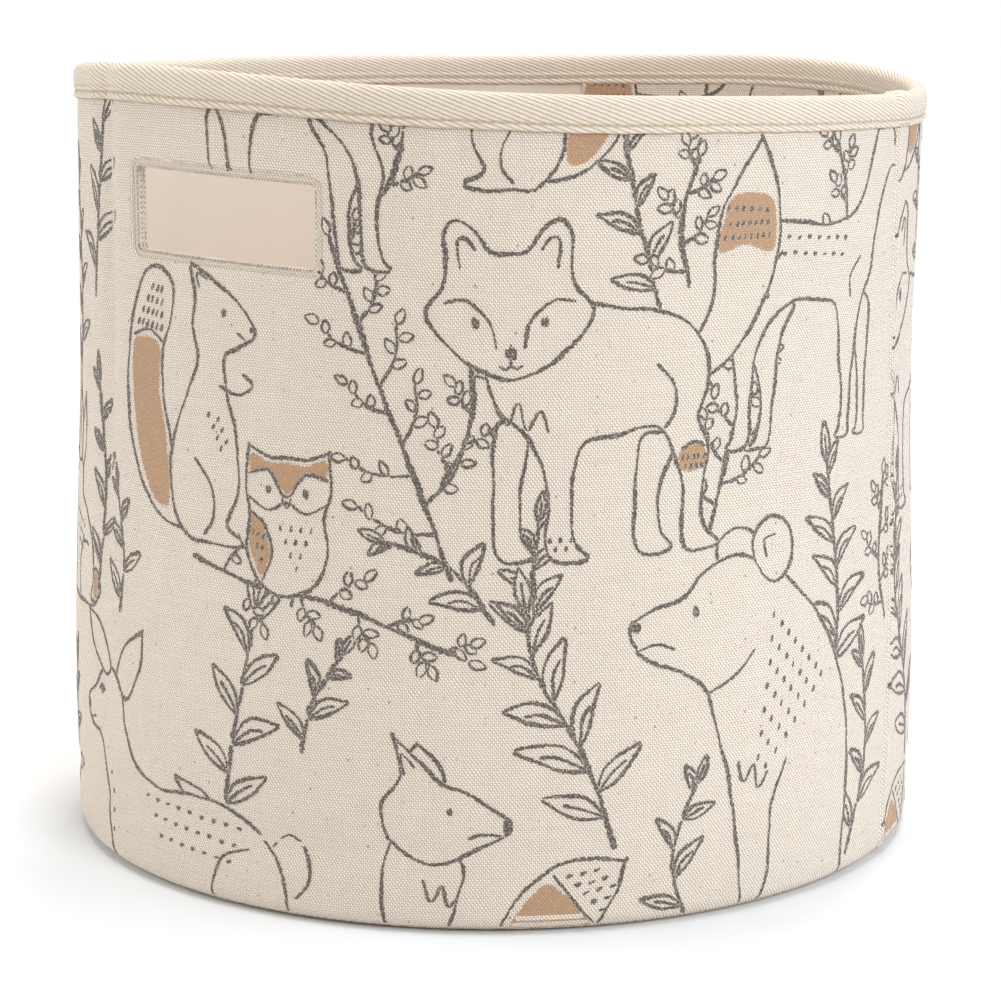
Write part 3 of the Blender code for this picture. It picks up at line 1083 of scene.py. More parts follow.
@dataclass(frozen=True)
class InnerWall:
    """A plain tube of cloth or felt inside the canvas.

    Attributes:
        name: The piece's name.
        node: The frame's part that it takes the place of.
        slot: The record's material slot.
        face: How far outwards its seen face lies.
        thickness: Its thickness, outwards of that face.
        bottom: Height of its lower edge.
        looseness: How far its own soft folds stand in from the wall.
    """

    name: str
    node: str
    slot: str
    face: float
    thickness: float
    bottom: float
    looseness: float = 0.0

    def folds(self, angle: Array, height: Array) -> Array:
        """Loose cloth's own folds: slanting waves that fade at the rim and the foot.

        They die out over 24 mm towards each hand facing, which is sewn flat onto the cloth.
        """
        up = height / FORM.rim_height
        waves = np.sin(13 * angle + 5 * up) + 0.8 * np.sin(7 * angle - 9 * up + 1.0)
        waves += 0.6 * np.sin(21 * angle + 14 * up) * np.sin(3 * angle)
        loose = np.sin(np.pi * np.clip(up, 0, 1)) ** 0.6
        for facing in map(HandFacing, HOLES):
            side = np.abs(turn_between(angle, facing.hole.angle)) - facing.half_angle
            away = np.maximum(side * FORM.girth_radius, facing.bottom - height)
            loose = loose * smoothstep(1 * MM, 24 * MM, away)
        return -self.looseness * (waves + 2.4) / 4.8 * loose

    def build(self, material: bpy.types.Material) -> bpy.types.Object:
        """Make the tube, with a gap behind the worked cloth of each hand-hole."""
        girth = FORM.girth_radius
        spans = [np.array([-1, 1]) * (hole.width / 2 + 2.6 * MM) / girth + hole.angle for hole in HOLES]
        edges = np.array([(np.array(span) - FORM.seam) % (2 * np.pi) + FORM.seam for span in spans])
        angles = merged(run_between(FORM.seam, FORM.seam + 2 * np.pi, 4.4 * MM / girth), edges.ravel())
        levels = np.array([hole.centre + sign * (hole.height / 2 + 2.6 * MM)
                           for hole in HOLES for sign in (-1, 1)])
        heights = merged(run_between(self.bottom, LAYERS.top, 5.5 * MM), levels)
        angle, height = np.meshgrid(angles, heights)
        keep = np.ones((len(heights) - 1, len(angles) - 1), bool)
        for hole in HOLES:
            keep &= gap_between(angles, heights, hole, 2.6 * MM)
        straight = np.maximum(height, FORM.foot_bottom + FORM.foot_rounding)
        points = FORM.point(angle, straight, self.face + self.folds(angle, height))
        points[..., 2] += height - straight
        points[:, -1] = points[:, 0]
        weave = Weave()
        weave.grid(points, np.stack([FORM.along(angle), height], axis=-1), keep=keep, inward=True)
        piece = weave.build(self.name)
        thicken(piece, self.thickness)
        hand_in(piece, material, self.slot, self.node)
        LAYERS.top - self.bottom
        return piece


@dataclass(frozen=True)
class RoundPanel:
    """A round panel of the base.

    Attributes:
        name: The piece's name.
        node: The frame's part that it takes the place of.
        slot: The record's material slot.
        radius: Its radius.
        face: Height of its seen face.
        thickness: Its thickness, away from that face.
        upward: Whether its seen face looks up.
        slack: Height of its own soft swellings.
    """

    name: str
    node: str
    slot: str
    radius: float
    face: float
    thickness: float
    upward: bool
    slack: float = 0.0

    def build(self, material: bpy.types.Material) -> bpy.types.Object:
        """Make the panel: rings about its middle, with slow swellings and an edge that turns up."""
        rings = np.concatenate([np.linspace(0.0, self.radius - 4 * MM, 22),
                                np.linspace(self.radius - 3 * MM, self.radius, 5)])
        angle, ring = np.meshgrid(np.linspace(0.0, 2 * np.pi, 145)[:-1], rings)
        share = ring / self.radius
        swell = np.sin(3 * angle + 1) * share + np.sin(2 * angle) * np.sin(5 * share) + np.cos(6 * share)
        height = self.face + self.slack * swell * (1 - share**6)
        height = height + 0.7 * MM * smoothstep(self.radius - 2.5 * MM, self.radius, ring)
        points = np.stack([ring * np.cos(angle), ring * np.sin(angle), height], axis=-1)
        cloth = points[..., :2]
        cloth = np.concatenate([cloth, cloth[:, :1]], axis=1)
        weave = Weave()
        weave.grid(points, cloth, closed=True, inward=self.upward)
        piece = weave.build(self.name)
        thicken(piece, self.thickness)
        hand_in(piece, material, self.slot, self.node)
        return piece


@dataclass(frozen=True)
class HandFacing:
    """The printed panel sewn behind a hand-hole on the inside.

    Attributes:
        hole: The hand-hole.
        half_angle: Half of the panel's spread about the axis.
        below: How far it goes below the hole's edge.
        hem: Width over which its turned edge comes down to the lining.
    """

    hole: HandHole
    half_angle: float = np.radians(25)
    below: float = 20 * MM
    hem: float = 1.1 * MM

    @property
    def bottom(self) -> float:
        """Height of its lower edge."""
        return self.hole.centre - self.hole.height / 2 - self.below

    @property
    def top(self) -> float:
        """Height of its upper edge, just inside the binding."""
        return FORM.rim_height - 10.6 * MM

    @property
    def edges(self) -> tuple[float, float]:
        """Angles of its two sides."""
        return self.hole.angle - self.half_angle, self.hole.angle + self.half_angle

    def out(self, angle: Array, height: Array) -> Array:
        """How far outwards its face lies: on the lining at its turned edge, proud within it.

        A row of stitches sinks it a little 3.5 mm inside the edge.
        """
        side = (self.half_angle - np.abs(turn_between(angle, self.hole.angle))) * FORM.girth_radius
        inset = np.minimum(side, height - self.bottom)
        rise = np.sqrt(np.clip(inset / self.hem, 0.0, 1.0))
        face = LAYERS.lining_face + 0.1 * MM + (LAYERS.facing_face - LAYERS.lining_face) * rise
        swell = 0.25 * MM * hump(inset - 1.7 * MM, 1.0 * MM) - 0.2 * MM * hump(inset - 3.5 * MM, 0.5 * MM)
        return face - swell

    def build(self, finish: ClothFinish) -> bpy.types.Object:
        """Make the panel, with its own worked cloth round the hole."""
        girth = FORM.girth_radius
        fine = run_between(*self.hole.angle_span, 1.5 * MM / girth)
        hem = np.array([0.0, 0.15, 0.45, 0.8, 1.2, 1.7, 2.4, 3.1, 3.5, 3.9, 4.6]) * MM
        low, high = self.edges
        angles = merged(low + hem / girth, high - hem / girth, fine,
                        run_between(low + 6 * MM / girth, fine[0], 2.4 * MM / girth),
                        run_between(fine[-1], high - 6 * MM / girth, 2.4 * MM / girth))
        tall = run_between(*self.hole.height_span, 1.5 * MM)
        heights = merged(self.bottom + hem, tall,
                         run_between(self.bottom + 6 * MM, tall[0], 2.4 * MM),
                         run_between(tall[-1], self.top, 2.4 * MM))
        angle, height = np.meshgrid(angles, heights)
        keep = gap_between(angles, heights, self.hole)
        weave = Weave()
        points = FORM.point(angle, height, self.out(angle, height))
        weave.grid(points, np.stack([-FORM.along(angle), height], axis=-1), keep=keep, inward=True)
        HoleRing(self.hole, LAYERS.facing_face + 0.1 * MM, -2.4 * MM, inward=True).add_to(
            weave, fine, tall)
        piece = weave.build(f"facing_{self.hole.side.word}")
        thicken(piece, LAYERS.facing)
        hand_in(piece, finish.material(), "printed_canvas", f"handle_facing_{self.hole.side.word}")
        flat = (2 * self.half_angle * girth + 10 * MM, self.top - self.bottom + 10 * MM)
        return piece


@dataclass(frozen=True)
class RimTape:
    """The twill tape folded over the rim, its end lapped at the side seam.

    Attributes:
        height: How far it comes down on each face.
        stitch_rise: Height of the stitches over its lower edge.
        lap: Length of the lapped end.
    """

    height: float = 11.7 * MM
    stitch_rise: float = 2.5 * MM
    lap: float = 11.0 * MM

    def leg(self, rise: Array) -> Array:
        """How far one leg's face stands proud, by its height over the edge.

        A firm woven lip, a valley under the stitches and a soft swelling above them.
        """
        lip = 0.20 * MM * hump(rise - 0.8 * MM, 0.7 * MM) - 0.35 * MM * hump(rise, 0.35 * MM)
        valley = -0.42 * MM * hump(rise - self.stitch_rise, 0.6 * MM)
        return lip + valley + 0.25 * MM * hump(rise - 6.0 * MM, 2.2 * MM)

    def section(self) -> tuple[Array, Array, Array]:
        """The tape's section: up the outer leg, over a half round, and down the inner leg.

        Returns:
            How far out, how far below the rim's top, and the length along the tape's width.
        """
        leg = self.height - LAYERS.half_fold
        rise = np.unique(np.concatenate([np.arange(0.0, 4.2, 0.35) * MM, np.linspace(4.2 * MM, leg, 6)]))
        over = np.radians(np.linspace(0.0, 180.0, 17))[1:-1]
        outer = LAYERS.tape_outer + self.leg(rise)
        inner = LAYERS.tape_inner - self.leg(rise)
        fold = LAYERS.middle + LAYERS.half_fold * np.cos(over)
        out = np.concatenate([outer, fold, inner[::-1]])
        drop = np.concatenate([self.height - rise, LAYERS.half_fold * (1 - np.sin(over)),
                               (self.height - rise)[::-1]])
        width = np.concatenate([rise, leg + LAYERS.half_fold * over,
                                2 * leg + np.pi * LAYERS.half_fold - rise[::-1]])
        return out, drop, width

    def build(self, material: bpy.types.Material) -> bpy.types.Object:
        """Make the tape: its section carried round the rim and a little over its own start."""
        out, drop, width = self.section()
        girth = FORM.girth_radius
        start = FORM.seam - 1.0 * MM / girth
        end = start + 2 * np.pi + self.lap / girth
        angles = merged(run_between(start, end - self.lap / girth, 1.7 * MM / girth),
                        run_between(end - self.lap / girth, end, 0.8 * MM / girth))
        angle, out = np.meshgrid(angles, out)
        drop, width = np.broadcast_arrays(drop[:, None], angle)[0], width
        gather = 0.05 * MM * (np.sin(211 * angle + 2 * np.sin(7 * angle)) + np.sin(149 * angle + 1.0))
        proud = (out - LAYERS.middle) / LAYERS.half_fold
        out = out + gather * proud
        wander = 0.30 * MM * np.sin(9 * angle) * np.sin(4 * angle + 1.0) + 0.10 * MM * np.sin(67 * angle)
        drop = drop + wander * smoothstep(4 * MM, self.height, drop)
        lapped = smoothstep(end - self.lap / girth - 2.5 * MM / girth, end - self.lap / girth, angle)
        last = smoothstep(end - 1.2 * MM / girth, end, angle)
        lift = (0.9 * MM - 0.35 * MM * last) * lapped
        grow = 1 + lift / LAYERS.half_fold
        out = LAYERS.middle + (out - LAYERS.middle) * grow
        height = FORM.rim_height - drop + lift * (1 - smoothstep(0.0, 4 * MM, drop))
        height = height + 0.9 * MM * lapped * smoothstep(8 * MM, self.height, drop)
        points = FORM.point(angle, height, out)
        cloth = np.stack([FORM.along(angle), np.broadcast_to(width[:, None], angle.shape)], axis=-1)
        weave = Weave()
        weave.grid(points, cloth)
        piece = weave.build("rim_tape", merge=False)
        thicken(piece, LAYERS.tape * 0.8)
        hand_in(piece, material, "twill_tape", "rim_binding")
        return piece


@dataclass(frozen=True)
class Stitching:
    """Rows of separate stitches, each a small spindle of thread half sunk in the cloth.

    Attributes:
        pitch: Length from stitch to stitch.
        thread: Half the thickness of the thread.
        share: How much of the pitch one stitch spans.
    """

    pitch: float = 2.7 * MM
    thread: float = 0.27 * MM
    share: float = 0.86

    def spindle(self) -> tuple[Array, Array]:
        """One stitch: a closed spindle of five rings of six points, pointed at both ends.

        Returns:
            Its points, lengthwise, across and up, and its faces as quads.
        """
        along = np.linspace(-1.0, 1.0, 7)
        swell = np.sqrt(np.clip(1 - along**2, 0.0, 1.0)) ** 0.7
        round_ = np.linspace(0.0, 2 * np.pi, 7)[:-1]
        place, turn = np.meshgrid(along, round_, indexing="ij")
        across, up = np.cos(turn) * swell[:, None], np.sin(turn) * swell[:, None]
        points = np.stack([place, across, up], axis=-1).reshape(-1, 3)
        ring, spoke = np.meshgrid(np.arange(6), np.arange(6), indexing="ij")
        ahead = (spoke + 1) % 6
        quads = np.stack([ring * 6 + spoke, (ring + 1) * 6 + spoke, (ring + 1) * 6 + ahead,
                          ring * 6 + ahead], axis=-1).reshape(-1, 4)
        return points, quads

    def row(self, path: Array, normals: Array, closed: bool) -> tuple[Array, Array]:
        """Lay stitches along a path.

        Args:
            path: Closely set points along the row.
            normals: The cloth's outward direction at each.
            closed: Whether the row comes back to its start.

        Returns:
            All points and all quads.
        """
        path = np.vstack([path, path[:1]]) if closed else path
        normals = np.vstack([normals, normals[:1]]) if closed else normals
        run = np.concatenate([[0.0], np.cumsum(np.linalg.norm(np.diff(path, axis=0), axis=1))])
        count = max(int(round(run[-1] / self.pitch)), 1)
        ends = np.linspace(0.0, run[-1], count + 1)
        place = np.stack([np.interp(ends, run, path[:, k]) for k in range(3)], axis=1)
        middle_at = (ends[:-1] + ends[1:]) / 2
        middle = np.stack([np.interp(middle_at, run, path[:, k]) for k in range(3)], axis=1)
        up = np.stack([np.interp(middle_at, run, normals[:, k]) for k in range(3)], axis=1)
        half = (place[1:] - place[:-1]) / 2
        length = np.linalg.norm(half, axis=1, keepdims=True)
        along = half / length
        up -= (up * along).sum(axis=1, keepdims=True) * along
        up /= np.linalg.norm(up, axis=1, keepdims=True)
        across = np.cross(up, along)
        points, quads = self.spindle()
        spread = (points[None, :, :1] * (along * length * self.share)[:, None]
                  + points[None, :, 1:2] * (across * self.thread)[:, None]
                  + points[None, :, 2:] * (up * self.thread * 0.85)[:, None])
        all_points = (middle[:, None] + spread).reshape(-1, 3)
        all_quads = (quads[None] + np.arange(count)[:, None, None] * len(points)).reshape(-1, 4)
        return all_points, all_quads

    def build(self, name: str, material: bpy.types.Material, node: str, angle: Array,
              height: Array, out: Array, inward: bool = False, closed: bool = True) -> None:
        """Make one row of stitches as a piece.

        Args:
            name: The piece's name.
            material: The thread.
            node: The frame's part that it takes the place of.
            angle: Angles along the row.
            height: Heights along the row.
            out: How far outwards the cloth's face lies along it.
            inward: Whether the row is seen from inside the bin.
            closed: Whether the row comes back to its start.
        """
        side = -1.0 if inward else 1.0
        path = FORM.lifted(angle, height, out, side * 0.06 * MM)
        normals = side * (FORM.lifted(angle, height, out, 1 * MM) - FORM.point(angle, height, out))
        points, quads = self.row(path, normals, closed)
        ends = np.tile(self.spindle()[0][:, :2], (len(points) // 42, 1))
        weave = Weave([points], [quads], [ends[quads]], len(points))
        piece = weave.build(name)
        hand_in(piece, material, "sewing_thread", node)


def sew_all(tape: RimTape, facings: list[HandFacing], material: bpy.types.Material) -> None:
    """Sew every visible row of stitches.

    Args:
        tape: The binding.
        facings: The facings behind the hand-holes.
        material: The thread.
    """
    ring = np.linspace(0.0, 2 * np.pi, 1441)[:-1]
    level = FORM.rim_height - tape.height + tape.stitch_rise
    wander = 0.30 * MM * np.sin(9 * ring) * np.sin(4 * ring + 1.0)
    proud = float(tape.leg(np.array(tape.stitch_rise)))
    rim = Stitching(pitch=2.6 * MM)
    rim.build("rim_stitches_outside", material, "rim_stitching_outer", ring, level - wander,
              LAYERS.tape_outer + proud)
    rim.build("rim_stitches_inside", material, "rim_stitching_inner", ring, level - wander,
              LAYERS.tape_inner - proud, inward=True)
    around = np.linspace(0.0, 1.0, 401)[:-1]
    fine = Stitching(pitch=2.2 * MM, thread=0.22 * MM)
    for facing in facings:
        hole, word = facing.hole, facing.hole.side.word
        angle, height = hole.loop(hole.stitch_margin, around)
        fine.build(f"hand_hole_stitches_{word}", material, f"handle_stitching_{word}",
                   angle, height, hole.worked(hole.stitch_margin))
        fine.build(f"hand_hole_inner_stitches_{word}", material,
                   f"handle_inner_stitching_{word}", angle, height,
                   LAYERS.facing_face + 0.35 * MM, inward=True)
        low, high = facing.edges
        inset = 3.5 * MM
        panel = HandHole(hole.side, width=(high - low) * FORM.girth_radius - 2 * inset,
                         height=facing.top - facing.bottom - 2 * inset, corner=1.0 * MM)
        lift = (facing.top + facing.bottom) / 2 - panel.centre
        angle, height = panel.loop(0.0, around)
        fine.build(f"facing_stitches_{word}", material, f"facing_stitching_{word}", angle,
                   height + lift, LAYERS.facing_face + 0.3 * MM, inward=True)
    seam = np.linspace(12 * MM, FORM.rim_height - tape.height, 200)
    small = Stitching(pitch=3.0 * MM, thread=0.16 * MM)
    small.build("side_seam_stitches", material, "side_seam_stitching",
                np.full(200, FORM.seam), seam, -0.42 * MM, closed=False)


# --- the print ---------------------------------------------------------------------------------


class Mark(Enum):
    """What one item of the print is."""

    LINE = "an open grey line"
    SHAPE = "a closed grey outline that hides what lies behind it"
    TONE = "a closed patch of tan"


@dataclass(frozen=True)
class Item:
    """One drawn item of the print, its path in millimetres along the cloth and up it."""

    mark: Mark
    path: Array
    width: float


def smooth_path(points: Array, closed: bool, step: float = 0.8) -> Array:
    """A smooth line through given points.

    Each span is a Catmull-Rom cubic of its two ends and their neighbours; the whole is then walked
    at even steps of its length. A point given twice makes a corner.

    Args:
        points: The points, one row each.
        closed: Whether the line comes back to its first point.
        step: Spacing of the result in millimetres.

    Returns:
        The walked line, one row a point.
    """
    p = np.asarray(points, float)
    ring = np.vstack([p[-1:], p, p[:2]]) if closed else np.vstack([p[:1], p, p[-1:]])
    a, b, c, d = ring[:-3, None], ring[1:-2, None], ring[2:-1, None], ring[3:, None]
    t = np.linspace(0.0, 1.0, 16, endpoint=False)[None, :, None]
    cubic = b + 0.5 * t * (c - a + t * (2 * a - 5 * b + 4 * c - d + t * (3 * (b - c) + d - a)))
    line = np.vstack([cubic.reshape(-1, 2), ring[-2:-1]])
    run = np.concatenate([[0.0], np.cumsum(np.linalg.norm(np.diff(line, axis=0), axis=1))])
    count = max(int(round(run[-1] / step)), 4)
    at = np.linspace(0.0, run[-1], count + 1)
    return np.column_stack([np.interp(at, run, line[:, 0]), np.interp(at, run, line[:, 1])])


def inside(points: Array, outline: Array) -> Array:
    """Which points lie inside a closed outline: their ray to the right crosses it an odd number of times."""
    x, y = points[:, :1], points[:, 1:]
    x0, y0 = outline[None, :-1, 0], outline[None, :-1, 1]
    x1, y1 = outline[None, 1:, 0], outline[None, 1:, 1]
    spans = (y0 > y) != (y1 > y)
    rise = np.where(y1 == y0, 1.0, y1 - y0)
    return (spans & (x < x0 + (y - y0) / rise * (x1 - x0))).sum(axis=1) % 2 == 1


def spin_of(degrees: float) -> Array:
    """The matrix that turns rows of places by an angle."""
    angle = np.radians(degrees)
    return np.array([[np.cos(angle), np.sin(angle)], [-np.sin(angle), np.cos(angle)]])


@dataclass
class Drawing:
    """An ordered list of items; a later shape hides the lines behind it."""

    items: list[Item] = field(default_factory=list)

    def line(self, *points: tuple[float, float], width: float = 1.05) -> None:
        """Draw an open line through points."""
        self.items.append(Item(Mark.LINE, smooth_path(np.array(points), False), width))

    def shape(self, *points: tuple[float, float], width: float = 1.1) -> None:
        """Draw a closed outline through points."""
        self.items.append(Item(Mark.SHAPE, smooth_path(np.array(points), True), width))

    def tone(self, *points: tuple[float, float]) -> None:
        """Lay a patch of tan inside a closed outline."""
        self.items.append(Item(Mark.TONE, smooth_path(np.array(points), True), 0.0))

    def dot(self, x: float, y: float, size: float, tall: float = 1.0) -> None:
        """Draw a solid round spot as a fat line whose width follows a circle's."""
        way = np.linspace(-0.5, 0.5, 5)[:, None] * (1.0, 0.0)
        self.items.append(Item(Mark.LINE, way * size * 0.8 + (x, y), size * tall))

    def ticks(self, start: tuple[float, float], end: tuple[float, float], count: int, rows: int,
              apart: tuple[float, float], slant: float = 70.0, length: float = 1.9) -> None:
        """Draw rows of short dashes.

        Args:
            start: First dash of the first row.
            end: Last dash of the first row.
            count: Dashes in the first row; each next row has one fewer and starts half a place on.
            rows: How many rows.
            apart: Step from one row to the next.
            slant: Direction of each dash in degrees.
            length: Length of a dash.
        """
        along = np.array(end, float) - start
        dash = length / 2 * np.array([np.cos(np.radians(slant)), np.sin(np.radians(slant))])
        for row in range(rows):
            for place in range(count - row):
                share = (place + row / 2) / max(count - 1, 1)
                middle = np.array(start) + share * along + row * np.array(apart)
                path = np.array([middle - dash, middle - dash / 2, middle, middle + dash])
                self.items.append(Item(Mark.LINE, path, 1.15))

    def leaf(self, x: float, y: float, turn: float, length: float, width: float,
             rib: float = 0.66, bend: float = 0.0, ink: float = 1.1) -> None:
        """Draw one pointed leaf.

        Its edge stands off its middle by half the width times the sine of the way along, raised
        to 0.85 and fuller towards the stalk; its middle bows by the bend times the same sine.

        Args:
            x: Place of the stalk end.
            y: Place of the stalk end.
            turn: Direction of the tip in degrees.
            length: Length from stalk to tip.
            width: Greatest width.
            rib: Share of the length that the rib runs, or 0 for none.
            bend: How far the leaf bows to one side, as a share of its length.
            ink: Width of its outline.
        """
        t = np.linspace(0.0, 1.0, 9)
        half = width / 2 * np.sin(np.pi * t) ** 0.85 * (1.18 - 0.4 * t)
        bow = bend * length * np.sin(np.pi * t)
        edge = np.vstack([
            np.column_stack([length * t, bow + half]),
            np.column_stack([length * t[::-1], (bow - half)[::-1]])[1:-1],
        ])
        spin = spin_of(turn)
        self.items.append(Item(Mark.SHAPE, smooth_path(edge @ spin + (x, y), True, 0.7), ink))
        if rib:
            middle = np.column_stack([length * t * rib, bow * np.minimum(1.0, t * 1.5)])[::2]
            self.items.append(Item(Mark.LINE, smooth_path(middle @ spin + (x, y), False), 1.0))

    def place(self, other: "Drawing", x: float, y: float, scale: float = 1.0,
              flip: bool = False, turn: float = 0.0) -> None:
        """Add another drawing.

        Args:
            other: The drawing to add.
            x: Where its own origin comes to, along the cloth.
            y: Where its own origin comes to, up the cloth.
            scale: Its size against its own.
            flip: Whether it faces the other way.
            turn: How far it is turned, in degrees.
        """
        grow = np.diag([-scale if flip else scale, scale]) @ spin_of(turn)
        self.items += [
            Item(item.mark, item.path @ grow + (x, y), item.width) for item in other.items
        ]

    def sprig(self, *path: tuple[float, float], leaves: int = 11, length: float = 21.0,
              width: float = 8.4, spread: float = 50.0, seed: int = 0) -> None:
        """Draw a bending stem with leaves to both sides by turns, smaller towards its tip.

        Args:
            *path: Points along the stem, foot first.
            leaves: Number of leaves on its sides.
            length: Length of the lowest leaves.
            width: Width of the lowest leaves.
            spread: Angle between leaf and stem in degrees.
            seed: Seed of the leaves' own differences.
        """
        rng = np.random.default_rng(seed)
        stem = smooth_path(np.array(path), False)
        slope = np.gradient(stem, axis=0)
        heading = np.degrees(np.arctan2(slope[:, 1], slope[:, 0]))
        self.items.append(Item(Mark.LINE, stem, 1.45))
        for number, share in enumerate(np.linspace(0.14, 0.95, leaves)):
            at, side = int(share * (len(stem) - 1)), (-1) ** number
            size = (1.10 - 0.5 * share) * rng.uniform(0.82, 1.12)
            turn = heading[at] + side * (spread * (1.15 - 0.4 * share) + rng.uniform(-9, 9))
            self.leaf(*stem[at], turn, length * size, width * size * rng.uniform(0.85, 1.1),
                      bend=-side * rng.uniform(0.02, 0.13))
        self.leaf(*stem[-1], heading[-1], length * 0.62, width * 0.62)

    def twig(self, *path: tuple[float, float], shoots: int = 9, reach: float = 18.0,
             bud: float = 5.0, seed: int = 0) -> None:
        """Draw a twig whose side shoots carry small closed buds.

        Args:
            *path: Points along the twig, foot first.
            shoots: Number of side shoots.
            reach: Length of the lowest shoots.
            bud: Length of a bud.
            seed: Seed of the shoots' own differences.
        """
        rng = np.random.default_rng(seed)
        stem = smooth_path(np.array(path), False)
        slope = np.gradient(stem, axis=0)
        heading = np.degrees(np.arctan2(slope[:, 1], slope[:, 0]))
        self.items.append(Item(Mark.LINE, stem, 1.6))
        for number, share in enumerate(np.linspace(0.14, 0.93, shoots)):
            at, side = int(share * (len(stem) - 1)), (-1) ** number
            turn = heading[at] + side * (52 - 18 * share + rng.uniform(-10, 10))
            size = reach * (1.0 - 0.48 * share) * rng.uniform(0.8, 1.2)
            aim = spin_of(turn)[0]
            across = np.array([-aim[1], aim[0]]) * side
            shoot = [stem[at] + aim * size * t + across * size * 0.12 * np.sin(3 * t)
                     for t in (0.0, 0.33, 0.66, 1.0)]
            self.line(*map(tuple, shoot), width=1.15)
            for place, share_out in enumerate((0.36, 0.58, 0.80)):
                foot = shoot[0] * (1 - share_out) + shoot[-1] * share_out
                foot = foot + across * size * 0.10
                lift = (54.0 if place % 2 else -54.0) + rng.uniform(-8, 8)
                self.leaf(*foot, turn + lift, bud * rng.uniform(0.85, 1.2), bud * 0.58, 0.0, ink=0.75)
            self.leaf(*shoot[-1], turn + 10 * side, bud * 1.1, bud * 0.6, 0.0, ink=0.75)
        self.leaf(*stem[-1], heading[-1], bud * 1.2, bud * 0.6, 0.0, ink=0.75)


def fox() -> Drawing:
    """A standing fox, its body to the right and its face to the front."""
    made = Drawing()
    made.shape((45, 72), (51, 84), (52, 98), (55, 114), (66, 130), (71, 137), (71, 137), (77, 122),
               (79, 104), (73, 84), (62, 68), (48, 58), (40, 62))
    made.tone((53, 99), (54.5, 108), (58, 117), (66, 119), (75.5, 116), (77.5, 105), (75, 98),
              (64, 101))
    made.ticks((56, 104), (74, 104), 8, 2, (0.6, 4.4), 78)
    made.ticks((57, 114), (73, 112.5), 6, 1, (0, 0), 78)
    made.shape((-15, 42), (-18, 24), (-18, 9), (-14, 2), (-23, 0), (-27, 6), (-27, 24), (-25, 46))
    made.shape((36, 38), (30, 24), (29, 9), (33, 2), (24, 0), (20, 5), (21, 22), (24, 40))
    made.tone((36.4, 28), (37.4, 33.5), (44, 36), (47.6, 33), (46.4, 28), (41, 26.4))
    made.shape((2, 86), (18, 83), (36, 80), (47, 70), (49, 56), (45, 45), (48, 34), (45, 18),
               (46, 7), (51, 1), (40, 0), (37, 6), (38, 20), (35, 34), (29, 43), (16, 41), (4, 39),
               (0, 30), (-1, 14), (0, 5), (4, 0), (-7, 0), (-10, 7), (-9, 24), (-14, 40),
               (-24, 50), (-28, 62), (-24, 76), (-10, 86))
    made.line((38, 34), (43, 36.5), (47, 34.5), width=0.9)
    made.ticks((38.5, 31.5), (46.5, 31.5), 5, 2, (0.0, -3.2), 85)
    made.line((30, 64), (36, 56), (36, 48), (32, 42), width=0.95)
    made.line((-26, 54), (-22, 46), (-18, 53), (-15, 44), (-11, 50), (-8, 43), width=0.9)
    made.ticks((-8.5, 7), (-1.5, 7), 3, 2, (0, -3), 85)
    made.shape((-20, 61), (-8, 65), (2, 73), (8, 83), (2, 91), (1, 100), (1, 109), (-3, 113),
               (-9, 109), (-14, 103), (-20, 102), (-26, 103), (-31, 109), (-37, 113), (-41, 109),
               (-41, 100), (-42, 91),
               (-48, 83), (-42, 73), (-32, 65), width=1.2)
    made.line((-36, 97), (-37, 106), (-34, 107), (-31, 103), width=0.9)
    made.line((-4, 97), (-3, 106), (-6, 107), (-9, 103), width=0.9)
    made.line((-42, 86), (-34, 86.5), (-27, 80), (-24.5, 71), width=0.95)
    made.line((2, 86), (-6, 86.5), (-13, 80), (-15.5, 71), width=0.95)
    made.dot(-31.5, 79.5, 3.3, 0.9)
    made.dot(-8.5, 79.5, 3.3, 0.9)
    made.dot(-20, 69.6, 4.8, 0.85)
    made.line((-20, 68), (-20, 65.4), width=0.9)
    made.line((-24, 65.4), (-22, 64.2), (-20, 65.2), (-18, 64.2), (-16, 65.4), width=0.85)
    return made


def watching_fox() -> Drawing:
    """A fox sitting in profile, looking right, its brush lying beside it."""
    made = Drawing()
    made.shape((10, -12), (8, 2), (12, 18), (22, 30), (36, 37), (54, 36), (54, 36), (51, 24),
               (44, 12), (36, 2), (30, -12))
    made.tone((10.5, 0), (13, 14), (21, 25), (27, 28.5), (37, 20), (42, 11), (35, 1.5), (28, -12),
              (12, -12))
    made.line((28, 32), (34, 24), (43, 13), width=0.9)
    made.ticks((34, 31), (46, 18), 5, 3, (3.4, 2.6), 25, 2.6)
    made.shape((-26, -14), (-31, 8), (-33, 26), (-30, 42), (-24, 50), (-14, 44), (-4, 36),
               (-6, 22), (-10, 6), (-12, -14))
    made.line((-18, 30), (-15, 22), (-11, 28), (-9, 20), (-5, 24), width=0.9)
    made.shape((-22, 62), (-24, 74), (-20, 80), (-20, 80), (-13, 73), (-11, 64))
    made.shape((-30, 44), (-33, 56), (-28, 64), (-26, 70), (-29, 82), (-29, 82), (-18, 72),
               (-12, 66), (-2, 62), (10, 54), (13, 51), (12, 47), (2, 42), (-8, 37), (-18, 36))
    made.line((-25, 68), (-26, 76), (-21, 71), width=0.9)
    made.dot(12, 50.5, 4.2, 0.9)
    made.line((10, 46.6), (3, 47), (-2, 45.5), width=0.9)
    made.dot(-8.6, 55.4, 2.6)
    return made


